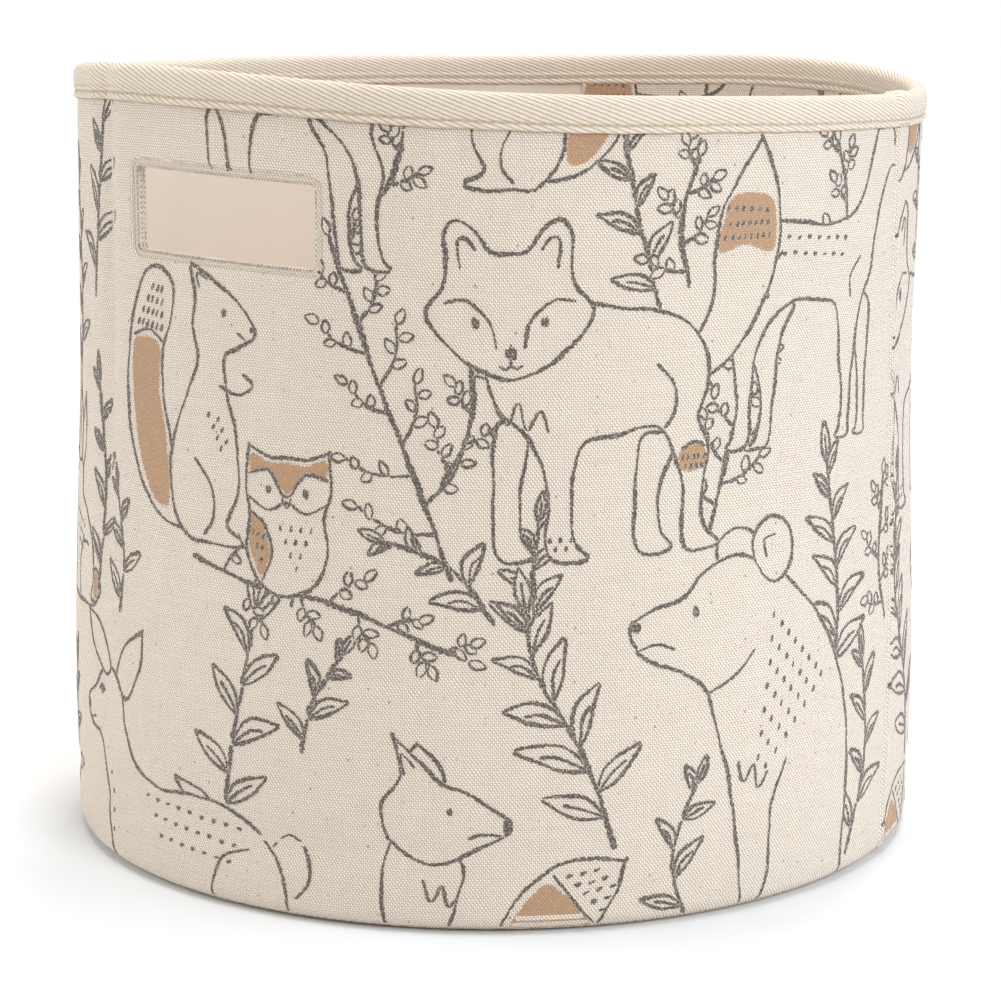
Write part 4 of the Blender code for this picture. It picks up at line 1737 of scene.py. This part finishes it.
def squirrel() -> Drawing:
    """A squirrel sitting up and looking right, with a tan brush of a tail."""
    made = Drawing()
    made.shape((-3, 3), (-17, 8), (-27, 22), (-31, 42), (-29, 60), (-23, 74), (-15, 78), (-8, 73),
               (-9, 64), (-13, 54), (-13, 42), (-9, 28), (-2, 12))
    made.tone((-9, 8.5), (-17, 10.5), (-25, 24), (-28.5, 42), (-28, 55), (-20, 57), (-14.6, 54),
              (-14.6, 41), (-11, 29), (-9.4, 20))
    made.ticks((-25.5, 61), (-14, 60), 6, 4, (1.4, 3.6), 62, 2.4)
    made.line((-28, 57), (-20, 59), (-13, 56), width=0.9)
    made.shape((0, 1), (-7, 10), (-8, 26), (-2, 42), (3, 52), (1, 62), (2, 70), (0, 80), (0, 80),
               (8, 77), (17, 72), (25, 65), (25.5, 61), (19, 57), (14, 54), (15, 44), (19, 32),
               (20, 16), (16, 6), (22, 2), (19, 0), (8, 0))
    made.line((12, 46), (20, 44), (25, 47), (21, 50), width=0.95)
    made.line((2, 24), (9, 17), (11, 8), (7, 2), width=0.95)
    made.line((4, 73), (3, 77.5), (7.5, 75.5), width=0.85)
    made.dot(14, 67, 2.4)
    made.dot(25, 63, 2.8)
    made.line((22.5, 60), (19, 61.6), width=0.85)
    made.ticks((8, 37), (13, 28), 4, 2, (3.0, 0.6), 60)
    return made


def owl() -> Drawing:
    """A small round owl that faces the front."""
    made = Drawing()
    made.shape((-10, 3), (-15, 13), (-14, 25), (-16, 34), (-15, 46), (-15, 46), (-7, 43), (0, 43.5),
               (7, 43), (15, 46), (15, 46), (16, 34), (14, 25), (15, 13), (10, 3), (0, -1))
    made.tone((-15, 44), (-7, 41.6), (0, 42), (7, 41.6), (15, 44), (13.6, 37), (7, 38), (0, 31.5),
              (-7, 38), (-13.6, 37))
    made.tone((-14, 24), (-8.6, 21), (-6, 12.5), (-8.6, 4), (-13, 11), (-14.6, 17))
    made.line((-13.6, 25), (-8, 21), (-5.4, 12.5), (-8.6, 3), width=0.95)
    made.ticks((-12.4, 18.5), (-8.6, 17.5), 3, 3, (0.6, -4.0), 70)
    made.line((-15, 37), (-7, 38.4), (0, 31), (7, 38.4), (15, 37), width=0.95)
    made.line((-14.6, 30), (-7, 26), (0, 29), (7, 26), (14.6, 30), width=0.95)
    made.dot(-7, 32.6, 2.7)
    made.dot(7, 32.6, 2.7)
    made.line((-1.6, 30.6), (0, 27.2), (1.6, 30.6), width=1.1)
    made.ticks((-2, 21), (9, 21), 4, 4, (0.2, -4.2), 85)
    made.line((-4, -0.5), (-4.8, -4), width=1.5)
    made.line((3, -0.5), (2.4, -4), width=1.5)
    return made


def fawn() -> Drawing:
    """A spotted fawn lying down, its head raised and turned to the left."""
    made = Drawing()
    made.shape((-27, 74), (-21, 86), (-11, 92), (-11, 92), (-12, 80), (-20, 68))
    made.shape((-24, 70), (-21, 58), (-15, 47), (-2, 42), (16, 43), (34, 40), (47, 29), (52, 14),
               (48, 2), (30, -2), (10, -1), (-14, -1), (-28, 4), (-35, 15), (-37, 29), (-38, 43),
               (-42, 51), (-50, 53), (-55, 57), (-54, 62), (-46, 67), (-39, 74), (-31, 76))
    made.shape((-37, 73), (-48, 81), (-54, 92), (-54, 92), (-42, 89), (-32, 77))
    made.line((47, 31), (53, 36), (59, 31), (60.5, 22), (55, 15), width=1.0)
    made.dot(-54, 58.4, 3.0)
    made.line((-51, 54.6), (-46.5, 56), width=0.85)
    made.line((-42.5, 66.6), (-40, 68.4), (-37, 67), width=1.1)
    made.dot(-39.6, 66.2, 2.4)
    made.line((27, -1), (22, 11), (27, 24), (38, 29), width=1.0)
    made.line((-28, 4), (-14, 8), (4, 6), (14, 1), width=1.0)
    made.line((24, 4), (36, 7), (47, 3), width=0.95)
    made.ticks((-8, 38), (34, 35), 9, 3, (0.6, -6.0), 20)
    made.ticks((-33, 40), (-33, 20), 4, 1, (0, 0), 80)
    return made


def bear() -> Drawing:
    """A big bear's head and shoulders from the side, looking left."""
    made = Drawing()
    made.shape((-16, 92), (-18, 101), (-11, 106), (-3, 102), (-3, 92))
    made.shape((-46, 70), (-48, 77), (-41, 82), (-31, 85), (-24, 92), (-13, 97), (-1, 94),
               (9, 88), (21, 77), (32, 61), (39, 41), (42, 16), (41, -12), (39, -50), (-2, -50),
               (-6, -20), (-9, 0), (-13, 22), (-18, 40), (-22, 54), (-30, 61), (-40, 65))
    made.shape((-3, 93), (-4, 103), (3, 108), (11, 104), (11, 92), (4, 87))
    made.line((1, 95), (0, 101), (5, 102), width=0.9)
    made.dot(-46.5, 77, 4.8, 0.95)
    made.line((-45, 69.4), (-39, 71), (-33, 69.4), width=0.95)
    made.dot(-26, 80.5, 2.8)
    made.line((10, 28), (4, 12), (4, -10), (0, -22), width=1.05)
    made.line((-22, 54), (-12, 58), (-4, 66), width=0.9)
    made.ticks((4, 76), (26, 53), 8, 7, (-2.6, -6.0), 80, 2.2)
    made.line((-10, 30), (-8, 23), (-4, 28), (-2, 20), (2, 25), width=0.9)
    return made


def doe() -> Drawing:
    """A tall doe walking right on long thin legs."""
    made = Drawing()
    made.shape((-24, 50), (-30, 34), (-26, 18), (-28, 4), (-31, 0), (-24, 0), (-22, 5), (-20, 20),
               (-18, 36), (-12, 48))
    made.shape((18, 48), (22, 30), (24, 14), (23, 3), (21, 0), (28, 0), (28, 6), (29, 22),
               (30, 46))
    made.shape((-33, 68), (-36, 56), (-34, 44), (-38, 32), (-36, 16), (-38, 4), (-41, 0), (-34, 0),
               (-31, 5), (-30, 20), (-27, 36), (-14, 48), (4, 48), (10, 44), (12, 28), (14, 14),
               (12, 3), (10, 0), (17, 0), (18, 6), (20, 24), (24, 44), (31, 56), (34, 70),
               (40, 84), (46, 92), (54, 92), (58, 97), (50, 102), (44, 110), (36, 108), (30, 94),
               (22, 80), (6, 74), (-14, 76), (-27, 76))
    made.shape((37, 106), (30, 112), (28, 120), (28, 120), (38, 116), (42, 108))
    made.line((-33, 72), (-39, 64), (-38, 54), (-34, 60), width=1.0)
    made.line((24, 62), (18, 56), (18, 48), width=0.95)
    made.line((-18, 66), (-24, 58), (-24, 50), width=0.95)
    made.ticks((-20, 71), (14, 69), 8, 2, (0.6, -5.6), 15)
    made.dot(49, 101, 2.4)
    made.dot(57, 96.6, 3.0)
    return made


def hare() -> Drawing:
    """A hare sitting in profile with its long ears up, looking left."""
    made = Drawing()
    made.shape((2, 50), (6, 62), (13, 76), (13, 76), (15, 62), (10, 50))
    made.shape((-2, 0), (-8, 2), (-8, 12), (-10, 24), (-8, 34), (-14, 38), (-18, 43), (-15, 50),
               (-8, 54), (2, 54), (9, 48), (10, 40), (19, 34), (28, 24), (30, 12), (27, 4),
               (31, 1), (12, 0))
    made.shape((-4, 52), (-4, 65), (2, 79), (2, 79), (7, 66), (5, 52))
    made.tone((30.5, 13), (33, 14), (36, 10), (34, 4.6), (30, 4.6))
    made.line((29, 14), (34, 15.4), (37.6, 9), (33, 2.6), (29, 3.6), width=1.0)
    made.line((8, 1), (6, 12), (12, 22), (22, 22), width=1.0)
    made.dot(-9, 46.6, 2.4)
    made.dot(-17.8, 43.8, 2.6)
    made.line((-16, 40.6), (-12.5, 41.4), width=0.85)
    made.ticks((0, 32), (14, 28), 5, 3, (0.2, -4.8), 70)
    made.line((0.5, 56), (1, 65), (2.8, 71), width=0.85)
    return made


def woodland_repeat() -> Drawing:
    """One repeat of the print: its animals among sprigs and twigs, as a drawing 400 mm long."""
    made = Drawing()
    # Foliage first, because every animal stands in front of it.
    made.sprig((-176, 196), (-172, 226), (-166, 268), leaves=7, length=20, width=6.1, seed=1)
    made.sprig((-204, 160), (-200, 196), (-206, 236), leaves=8, length=18, width=5.3, seed=2)
    made.sprig((-170, 96), (-166, 130), (-172, 168), leaves=7, length=17, width=5.0, seed=3)
    made.sprig((-150, 92), (-148, 112), (-154, 134), leaves=5, length=14, width=4.3, seed=4)
    made.sprig((-96, 14), (-92, 50), (-82, 104), leaves=8, length=25, width=7.7, seed=5)
    made.sprig((-64, 58), (-60, 76), (-50, 92), leaves=5, length=15, width=4.8, seed=6)
    made.twig((-14, 118), (-26, 150), (-38, 178), (-56, 226), shoots=10, reach=25, seed=7)
    made.twig((-18, 148), (-8, 170), (-10, 196), shoots=5, reach=13, seed=8)
    made.sprig((0, 104), (-14, 122), (-36, 130), leaves=5, length=16, width=5.3, seed=9)
    made.sprig((14, 96), (12, 118), (14, 138), leaves=6, length=16, width=5.0, seed=10)
    made.sprig((40, 28), (30, 58), (14, 88), (10, 108), leaves=9, length=25, width=8.0, seed=11)
    made.sprig((54, 204), (46, 232), (38, 268), leaves=7, length=17, width=5.9, seed=12)
    made.twig((64, 212), (60, 232), (66, 254), shoots=5, reach=13, seed=13)
    made.twig((72, 132), (80, 160), (92, 196), shoots=9, reach=19, seed=14)
    made.sprig((122, 62), (130, 96), (124, 150), leaves=10, length=23, width=7.2, seed=15)
    made.sprig((140, 8), (150, 40), (146, 78), leaves=7, length=20, width=6.1, seed=16)
    made.twig((164, 88), (158, 110), (162, 140), shoots=6, reach=15, seed=17)
    made.sprig((66, 0), (60, 24), (68, 48), leaves=5, length=16, width=5.0, seed=18)
    made.sprig((-218, 6), (-212, 30), (-206, 62), leaves=7, length=19, width=5.9, seed=19)
    made.twig((-140, 6), (-144, 24), (-156, 44), shoots=5, reach=12, seed=20)
    made.twig((-44, 232), (-34, 246), (-30, 266), shoots=4, reach=12, seed=22)
    made.twig((-110, 118), (-84, 112), (-52, 108), (-8, 92), shoots=9, reach=17, seed=23)
    made.twig((128, 214), (132, 236), (126, 258), shoots=5, reach=14, seed=24)
    # The animals.
    made.place(doe(), 118, 158, 0.98)
    made.place(doe(), -74, 216, 0.96, flip=True)
    made.place(hare(), -204, 88, 0.95)
    made.place(fawn(), -124, -8, 1.04)
    made.place(bear(), 94, 22, 1.04)
    made.place(fox(), 26, 125, 0.97, turn=2.0)
    made.place(watching_fox(), -6, -9, 0.92)
    made.place(squirrel(), -113, 123, 1.12)
    made.place(owl(), -71, 110, 1.02)
    made.place(squirrel(), 12, 243, 1.05, flip=True)
    return made


class PrintedFace:
    """A face of cloth that takes the print."""

    name: str
    span: tuple[float, float]

    def turned(self, flat: Array) -> tuple[Array, Array]:
        """Angle and height at which flat places land."""
        raise NotImplementedError

    def takes_ink(self, flat: Array) -> Array:
        """Whether ink may lie at flat places."""
        raise NotImplementedError

    def lifted(self, flat: Array, lift: float) -> Array:
        """Standing points a little off the face."""
        raise NotImplementedError

    def cloth(self, flat: Array) -> Array:
        """The cloth's own coordinates, the same as its sheet's."""
        raise NotImplementedError

    @staticmethod
    def worked(angle: Array, height: Array) -> Array:
        """How far the worked cloth round a hand-hole stands proud: sunk at its stitches, then swelling."""
        return sum(hole.worked(hole.distance(angle, height)) for hole in HOLES)


@dataclass
class WallFace(PrintedFace):
    """The outside of the wall, its print measured from the line opposite the side seam's quarter.

    Attributes:
        wall: The wall.
        tape: The binding that covers its top.
        front: Angle at which the print's own zero stands.
    """

    wall: CanvasWall
    tape: RimTape
    front: float = np.radians(-142)
    name: str = "wall_print"

    @property
    def span(self) -> tuple[float, float]:
        """The panel's two ends in millimetres of print."""
        end = float(turn_between(FORM.seam, self.front)) * FORM.girth_radius / MM
        return end - 2 * np.pi * FORM.girth_radius / MM + 0.4, end - 0.4

    def turned(self, flat: Array) -> tuple[Array, Array]:
        """Angle and height at which flat places land."""
        return self.front + flat[:, 0] * MM / FORM.girth_radius, flat[:, 1] * MM

    def takes_ink(self, flat: Array) -> Array:
        """Between the panel's ends, over the foot, under the tape, and off the holes' turned edges."""
        angle, height = self.turned(flat)
        shown = (flat[:, 0] > self.span[0]) & (flat[:, 0] < self.span[1])
        shown &= height > FORM.foot_bottom + 1.0 * MM
        shown &= height < FORM.rim_height - self.tape.height + 1.5 * MM
        for hole in HOLES:
            shown &= hole.distance(angle, height) > 0.7 * MM
        return shown

    def lifted(self, flat: Array, lift: float) -> Array:
        """Standing points a little off the face."""
        angle, height = self.turned(flat)
        out = self.wall.seam_relief(angle) + self.worked(angle, height)
        return FORM.lifted(angle, height, out, lift)

    def cloth(self, flat: Array) -> Array:
        """The cloth's own coordinates, the same as its sheet's."""
        angle, height = self.turned(flat)
        return np.column_stack([FORM.along(FORM.seam + (angle - FORM.seam) % (2 * np.pi)), height])


@dataclass
class FacingFace(PrintedFace):
    """The inside of a facing, whose print reads rightly from inside the bin.

    Attributes:
        facing: The facing.
        middle: Place in the print, in millimetres, that comes to the middle of its lower edge.
    """

    facing: HandFacing
    middle: tuple[float, float]

    @property
    def name(self) -> str:
        """The face's name in piece names."""
        return f"facing_print_{self.facing.hole.side.word}"

    @property
    def span(self) -> tuple[float, float]:
        """The panel's two ends in millimetres of print."""
        half = self.facing.half_angle * FORM.girth_radius / MM - 0.9
        return self.middle[0] - half, self.middle[0] + half

    def turned(self, flat: Array) -> tuple[Array, Array]:
        """Angle and height at which flat places land."""
        angle = self.facing.hole.angle - (flat[:, 0] - self.middle[0]) * MM / FORM.girth_radius
        return angle, self.facing.bottom + (flat[:, 1] - self.middle[1]) * MM

    def takes_ink(self, flat: Array) -> Array:
        """Inside the panel's turned edges and off the hole's."""
        angle, height = self.turned(flat)
        shown = (flat[:, 0] > self.span[0]) & (flat[:, 0] < self.span[1])
        shown &= (height > self.facing.bottom + 0.9 * MM) & (height < self.facing.top - 0.5 * MM)
        return shown & (self.facing.hole.distance(angle, height) > 0.7 * MM)

    def lifted(self, flat: Array, lift: float) -> Array:
        """Standing points a little off the face."""
        angle, height = self.turned(flat)
        out = self.facing.out(angle, height) - self.worked(angle, height)
        return FORM.lifted(angle, height, out, -lift)

    def cloth(self, flat: Array) -> Array:
        """The cloth's own coordinates, the same as its sheet's."""
        angle, height = self.turned(flat)
        return np.column_stack([-FORM.along(angle), height])


@dataclass(frozen=True)
class PrintPress:
    """Prints the woodland repeat on faces of cloth, as thin ink lying along them.

    Attributes:
        drawing: One repeat.
        repeat: Length after which it comes again, in millimetres.
        pressure: How much wider lines print than they were drawn.
        unsteadiness: How far the drawing hand strays, in millimetres.
        line_lift: How far the grey lines lie off the cloth.
        tone_lift: How far the tan patches lie off it.
    """

    drawing: Drawing
    repeat: float = 400.0
    pressure: float = 1.18
    unsteadiness: float = 0.14
    line_lift: float = 0.11 * MM
    tone_lift: float = 0.055 * MM

    def items(self, face: PrintedFace) -> list[Item]:
        """Every item of every repeat that reaches the face, in the drawing's order."""
        low, high = face.span
        found = []
        for item in self.drawing.items:
            for shift in self.repeat * np.arange(-4, 5):
                path = item.path + (shift, 0.0)
                if path[:, 0].max() > low and path[:, 0].min() < high:
                    found.append(Item(item.mark, path, item.width))
        return found

    @staticmethod
    def behind(items: list[Item]) -> list[Array]:
        """For each item, which of its points lie behind a later shape."""
        lows = np.array([item.path.min(axis=0) for item in items])
        highs = np.array([item.path.max(axis=0) for item in items])
        shapes = np.array([item.mark is Mark.SHAPE for item in items])
        result = []
        for number, item in enumerate(items):
            meets = shapes & (lows < highs[number]).all(axis=1) & (highs > lows[number]).all(axis=1)
            meets[: number + 1] = False
            covered = np.zeros(len(item.path), bool)
            for other in np.flatnonzero(meets):
                covered |= inside(item.path, items[other].path)
            result.append(covered)
        return result

    @staticmethod
    def strokes(path: Array, shown: Array) -> list[tuple[int, int]]:
        """The shown stretches of a path, parted at its sharp corners, as first and past-last points."""
        steps = np.flatnonzero(np.diff(np.concatenate([[0], shown.astype(np.int8), [0]])))
        way = np.diff(path, axis=0)
        way /= np.linalg.norm(way, axis=1, keepdims=True) + 1e-9
        corners = 1 + np.flatnonzero((way[1:] * way[:-1]).sum(axis=1) < 0.62)
        found = []
        for start, end in zip(steps[::2], steps[1::2]):
            marks = [start, *corners[(corners > start) & (corners < end - 1)], end - 1]
            found += [(a, b + 1) for a, b in zip(marks[:-1], marks[1:]) if b - a > 1]
        return found

    def ribbons(self, items: list[Item], face: PrintedFace,
                rng: np.random.Generator) -> tuple[Array, Array, Array]:
        """The lines as ribbons whose two edges waver as ink does over yarns.

        Args:
            items: The items, in order.
            face: The face they lie on.
            rng: Source of the wavering.

        Returns:
            Points along and up the cloth in millimetres, quads, and each point's side of its line.
        """
        points, quads, count = [], [], 0
        for item, covered in zip(items, self.behind(items)):
            if item.mark is Mark.TONE:
                continue
            shown = ~covered & face.takes_ink(item.path)
            for start, end in self.strokes(item.path, shown):
                path = item.path[start:end]
                slope = np.gradient(path, axis=0)
                slope /= np.linalg.norm(slope, axis=1, keepdims=True) + 1e-9
                normal = np.column_stack([-slope[:, 1], slope[:, 0]])
                place = np.arange(start, end)[:, None]
                phase = rng.uniform(0, 2 * np.pi, 4)
                swell = 1 + 0.22 * np.sin(place / 5.3 + phase[0]) + 0.16 * np.sin(place / 11.0 + phase[1])
                drift = self.unsteadiness * (np.sin(place / 7.0 + phase[2]) + np.sin(place / 3.1 + phase[3]))
                rough = 1 + 0.2 * rng.standard_normal((2, len(path), 1))
                half = item.width * self.pressure / 2 * swell * rough
                half = np.clip(half, 0.22 * item.width, 0.95 * item.width)
                half[:, [0, -1]] *= 0.55
                half += drift * np.array([[[1.0]], [[-1.0]]])
                points.append(np.stack([path + half[0] * normal, path - half[1] * normal], axis=1))
                first = count + 2 * np.arange(len(path) - 1)[:, None]
                quads.append(first + np.array([1, 3, 2, 0]))
                count += 2 * len(path)
        flat = np.concatenate([p.reshape(-1, 2) for p in points])
        return flat, np.concatenate(quads), np.resize([1.0, -1.0], len(flat))

    @staticmethod
    def patches(items: list[Item], face: PrintedFace) -> tuple[Array, Array, Array]:
        """The tan patches, each filled with triangles about 3 mm across.

        Args:
            items: The items, in order.
            face: The face they lie on.

        Returns:
            Points along and up the cloth in millimetres, quads whose last two corners meet, and 1
            for points on a patch's edge.
        """
        points, quads, edges, count = [], [], [], 0
        for item in items:
            if item.mark is not Mark.TONE:
                continue
            edge = item.path[:-1]
            low, high = edge.min(axis=0), edge.max(axis=0)
            x, y = np.meshgrid(np.arange(low[0], high[0], 2.6), np.arange(low[1], high[1], 2.6))
            fill = np.column_stack([x.ravel(), y.ravel()])
            fill = fill[inside(fill, item.path)]
            near = np.linalg.norm(fill[:, None] - edge[None], axis=2).min(axis=1) > 0.9
            cloud = [Vector(p) for p in np.vstack([edge, fill[near]])]
            ring = [(k, (k + 1) % len(edge)) for k in range(len(edge))]
            made = delaunay_2d_cdt(cloud, ring, [], 1, 1e-5)
            corners = np.array([(f[0], f[1], f[2], f[2]) for f in made[2]])
            flat = np.array([tuple(v) for v in made[0]])
            shown = face.takes_ink(flat[corners].mean(axis=1))
            points.append(flat)
            edges.append((np.arange(len(flat)) < len(edge)) * 1.0)
            quads.append(corners[shown] + count)
            count += len(flat)
        return np.concatenate(points), np.concatenate(quads), np.concatenate(edges)

    @staticmethod
    def lay(name: str, flat: Array, corners: Array, edge: Array, face: PrintedFace, lift: float,
            finish: InkFinish) -> bpy.types.Object:
        """Lay printed points on a face and make them a piece.

        Args:
            name: The piece's name.
            flat: Points along and up in millimetres.
            corners: Four corners of each face, the last two alike for a triangle.
            edge: 1 or -1 at the ink's edges, 0 within it.
            face: The face of cloth.
            lift: How far off the cloth they lie.
            finish: The ink.

        Returns:
            The piece.
        """
        used, index = np.unique(corners, return_inverse=True)
        flat, corners = flat[used], index.reshape(corners.shape)
        mesh = bpy.data.meshes.new(name)
        faces = [f[:3] if f[2] == f[3] else f for f in corners.tolist()]
        mesh.from_pydata(face.lifted(flat, lift).tolist(), [], faces)
        layer = mesh.uv_layers.new(name="Cloth")
        loops = np.empty(len(mesh.loops), np.int32)
        mesh.loops.foreach_get("vertex_index", loops)
        layer.uv.foreach_set("vector", face.cloth(flat)[loops].astype(np.float32).ravel())
        mesh.attributes.new("Edge", "FLOAT", "POINT").data.foreach_set("value", edge[used].astype(np.float32))
        mesh.shade_smooth()
        piece = bpy.data.objects.new(name, mesh)
        bpy.context.scene.collection.objects.link(piece)
        return hand_in(piece, finish.material(), "printed_canvas")

    def print_on(self, face: PrintedFace, seed: int) -> None:
        """Print one face.

        Args:
            face: The face.
            seed: Seed of the ink's wavering edges.
        """
        items = self.items(face)
        lines = self.ribbons(items, face, np.random.default_rng(seed))
        self.lay(f"{face.name}_lines", *lines, face, self.line_lift, GREY_INK)
        if any(item.mark is Mark.TONE for item in items):
            tones = self.patches(items, face)
            if len(tones[1]):
                self.lay(f"{face.name}_tan", *tones, face, self.tone_lift, TAN_INK)


# --- the studio ----------------------------------------------------------------------------------


@dataclass(frozen=True)
class Lamp:
    """A square soft light that looks at the bin.

    Attributes:
        name: Its name.
        turn: Its angle from the camera about the axis in degrees, to the right as seen.
        distance: From the axis.
        height: Over the floor.
        size: Length of its sides.
        power: Watts.
        colour: Its colour.
    """

    name: str
    turn: float
    distance: float
    height: float
    size: float
    power: float
    colour: Colour = (1.0, 1.0, 1.0)

    def hang(self, front: float) -> None:
        """Hang the light, its turn measured from the camera's own angle."""
        data = bpy.data.lights.new(self.name, "AREA")
        data.shape = "SQUARE"
        data.size = self.size
        data.energy = self.power
        data.color = self.colour
        lamp = bpy.data.objects.new(self.name, data)
        angle = front + np.radians(self.turn)
        place = Vector((self.distance * np.cos(angle), self.distance * np.sin(angle), self.height))
        lamp.location = place
        lamp.rotation_euler = (Vector((0.0, 0.0, 0.14)) - place).to_track_quat("-Z", "Y").to_euler()
        bpy.context.scene.collection.objects.link(lamp)


LAMPS = (
    Lamp("right_light", 75.0, 2.2, 0.9, 1.5, 25.0, (0.68, 0.82, 1.0)),
    Lamp("front_light", 30.0, 2.4, 1.6, 1.2, 32.0, (0.96, 1.0, 1.0)),
    Lamp("left_light", -95.0, 2.2, 0.9, 1.5, 26.5, (0.95, 1.0, 1.0)),
    Lamp("top_light", 0.0, 0.3, 2.4, 1.4, 31.0, (0.97, 0.97, 1.0)),
    Lamp("back_light", 165.0, 1.6, 2.2, 1.2, 40.0, (1.0, 0.96, 0.95)),
)


@dataclass(frozen=True)
class Studio:
    """A plain pale floor, soft light and the camera.

    Attributes:
        azimuth: Angle about the axis at which the camera stands.
        distance: From the axis to the camera.
        eye: Height of the camera.
        tilt: Angle of its line of sight to straight down, in degrees.
        lens: Focal length on a 36 mm wide sensor.
        air: Brightness of the surround.
    """

    azimuth: float = np.radians(-142)
    distance: float = 1.0618
    eye: float = 0.3238
    tilt: float = 78.86
    lens: float = 104.7
    air: float = 0.34

    def camera(self) -> None:
        """Stand the camera in front of the bin."""
        data = bpy.data.cameras.new("camera")
        data.lens = self.lens
        data.sensor_width = 36.0
        data.clip_start = 0.05
        data.clip_end = 60.0
        data.dof.use_dof = False
        camera = bpy.data.objects.new("camera", data)
        camera.location = (self.distance * np.cos(self.azimuth) + FORM.lean[0],
                           self.distance * np.sin(self.azimuth) + FORM.lean[1], self.eye)
        camera.rotation_euler = (np.radians(self.tilt), 0.0, self.azimuth + np.pi / 2)
        bpy.context.scene.collection.objects.link(camera)
        bpy.context.scene.camera = camera

    def floor(self) -> None:
        """Lay a wide pale floor just under the bin."""
        mesh = bpy.data.meshes.new("floor")
        angle = np.linspace(0.0, 2 * np.pi, 97)[:-1]
        rim = np.column_stack([1.5 * np.cos(angle), 1.5 * np.sin(angle), np.full(96, -0.0002)])
        mesh.from_pydata(rim.tolist(), [], [tuple(range(96))])
        material, pen = bare_material("pale_floor")
        place = pen.add("ShaderNodeTexCoord").outputs["Object"]
        tone = pen.ease(pen.noise(place, 3.0, 3.0), 0.3, 0.7, 0.88, 0.90)
        seen = pen.add("ShaderNodeLightPath").outputs["Is Camera Ray"]
        tone = pen.math("MULTIPLY", tone, pen.math("MULTIPLY_ADD", seen, -0.12, 1.0))
        surface = pen.add("ShaderNodeBsdfPrincipled", Base_Color=pen.grey(tone), Roughness=0.95)
        surface.inputs["Specular IOR Level"].default_value = 0.0
        pen.put_out(surface)
        mesh.materials.append(material)
        floor = bpy.data.objects.new("floor", mesh)
        bpy.context.scene.collection.objects.link(floor)

    def surround(self) -> None:
        """An even pale surround that the camera sees as white."""
        world = bpy.data.worlds.new("studio")
        bpy.context.scene.world = world
        world.use_nodes = True
        world.node_tree.nodes.clear()
        pen = Nodes(world.node_tree)
        seen = pen.add("ShaderNodeLightPath").outputs["Is Camera Ray"]
        strength = pen.add("ShaderNodeMix", {"data_type": "FLOAT"}, _0=seen, _2=self.air, _3=1.0)
        light = pen.add("ShaderNodeBackground", Color=(1.0, 1.0, 1.0),
                        Strength=strength.outputs[0])
        out = pen.add("ShaderNodeOutputWorld")
        pen.tree.links.new(light.outputs[0], out.inputs["Surface"])

    def set_up(self) -> None:
        """Make the whole studio."""
        bpy.context.scene.view_settings.view_transform = "Standard"
        self.floor()
        self.surround()
        for lamp in LAMPS:
            lamp.hang(self.azimuth)
        self.camera()


# --- the bin -------------------------------------------------------------------------------------


def main() -> None:
    """Build every piece of the bin in order, then the studio."""
    wall, tape = CanvasWall(), RimTape()
    wall.build(CANVAS)
    InnerWall("stiffener_wall", "wall_interlining", "stiffener", LAYERS.stiffener_face,
              LAYERS.stiffener, bottom=6.5 * MM).build(FELT.material())
    InnerWall("lining_wall", "wall_lining", "plain_lining", LAYERS.lining_face, LAYERS.lining,
              bottom=3.4 * MM, looseness=2.6 * MM).build(LINING.material())
    RoundPanel("canvas_base", "outer_base", "printed_canvas", radius=150.5 * MM, face=0.05 * MM,
               thickness=0.75 * MM, upward=False, slack=0.0).build(CANVAS.material())
    RoundPanel("lining_base", "base_lining", "plain_lining", radius=149.9 * MM, face=4.1 * MM,
               thickness=0.6 * MM, upward=True, slack=0.25 * MM).build(LINING.material())
    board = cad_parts["base_board"]
    board.data.materials.clear()
    board.data.materials.append(FELT.material())
    facings = [HandFacing(hole) for hole in HOLES]
    for facing in facings:
        facing.build(CANVAS)
    tape.build(TWILL.material())
    sew_all(tape, facings, THREAD.material())
    press = PrintPress(woodland_repeat())
    press.print_on(WallFace(wall, tape), seed=41)
    press.print_on(FacingFace(facings[0], middle=(-60.0, 60.0)), seed=43)
    press.print_on(FacingFace(facings[1], middle=(141.0, 168.0)), seed=47)
    Studio().set_up()


if __name__ == "__main__":
    main()
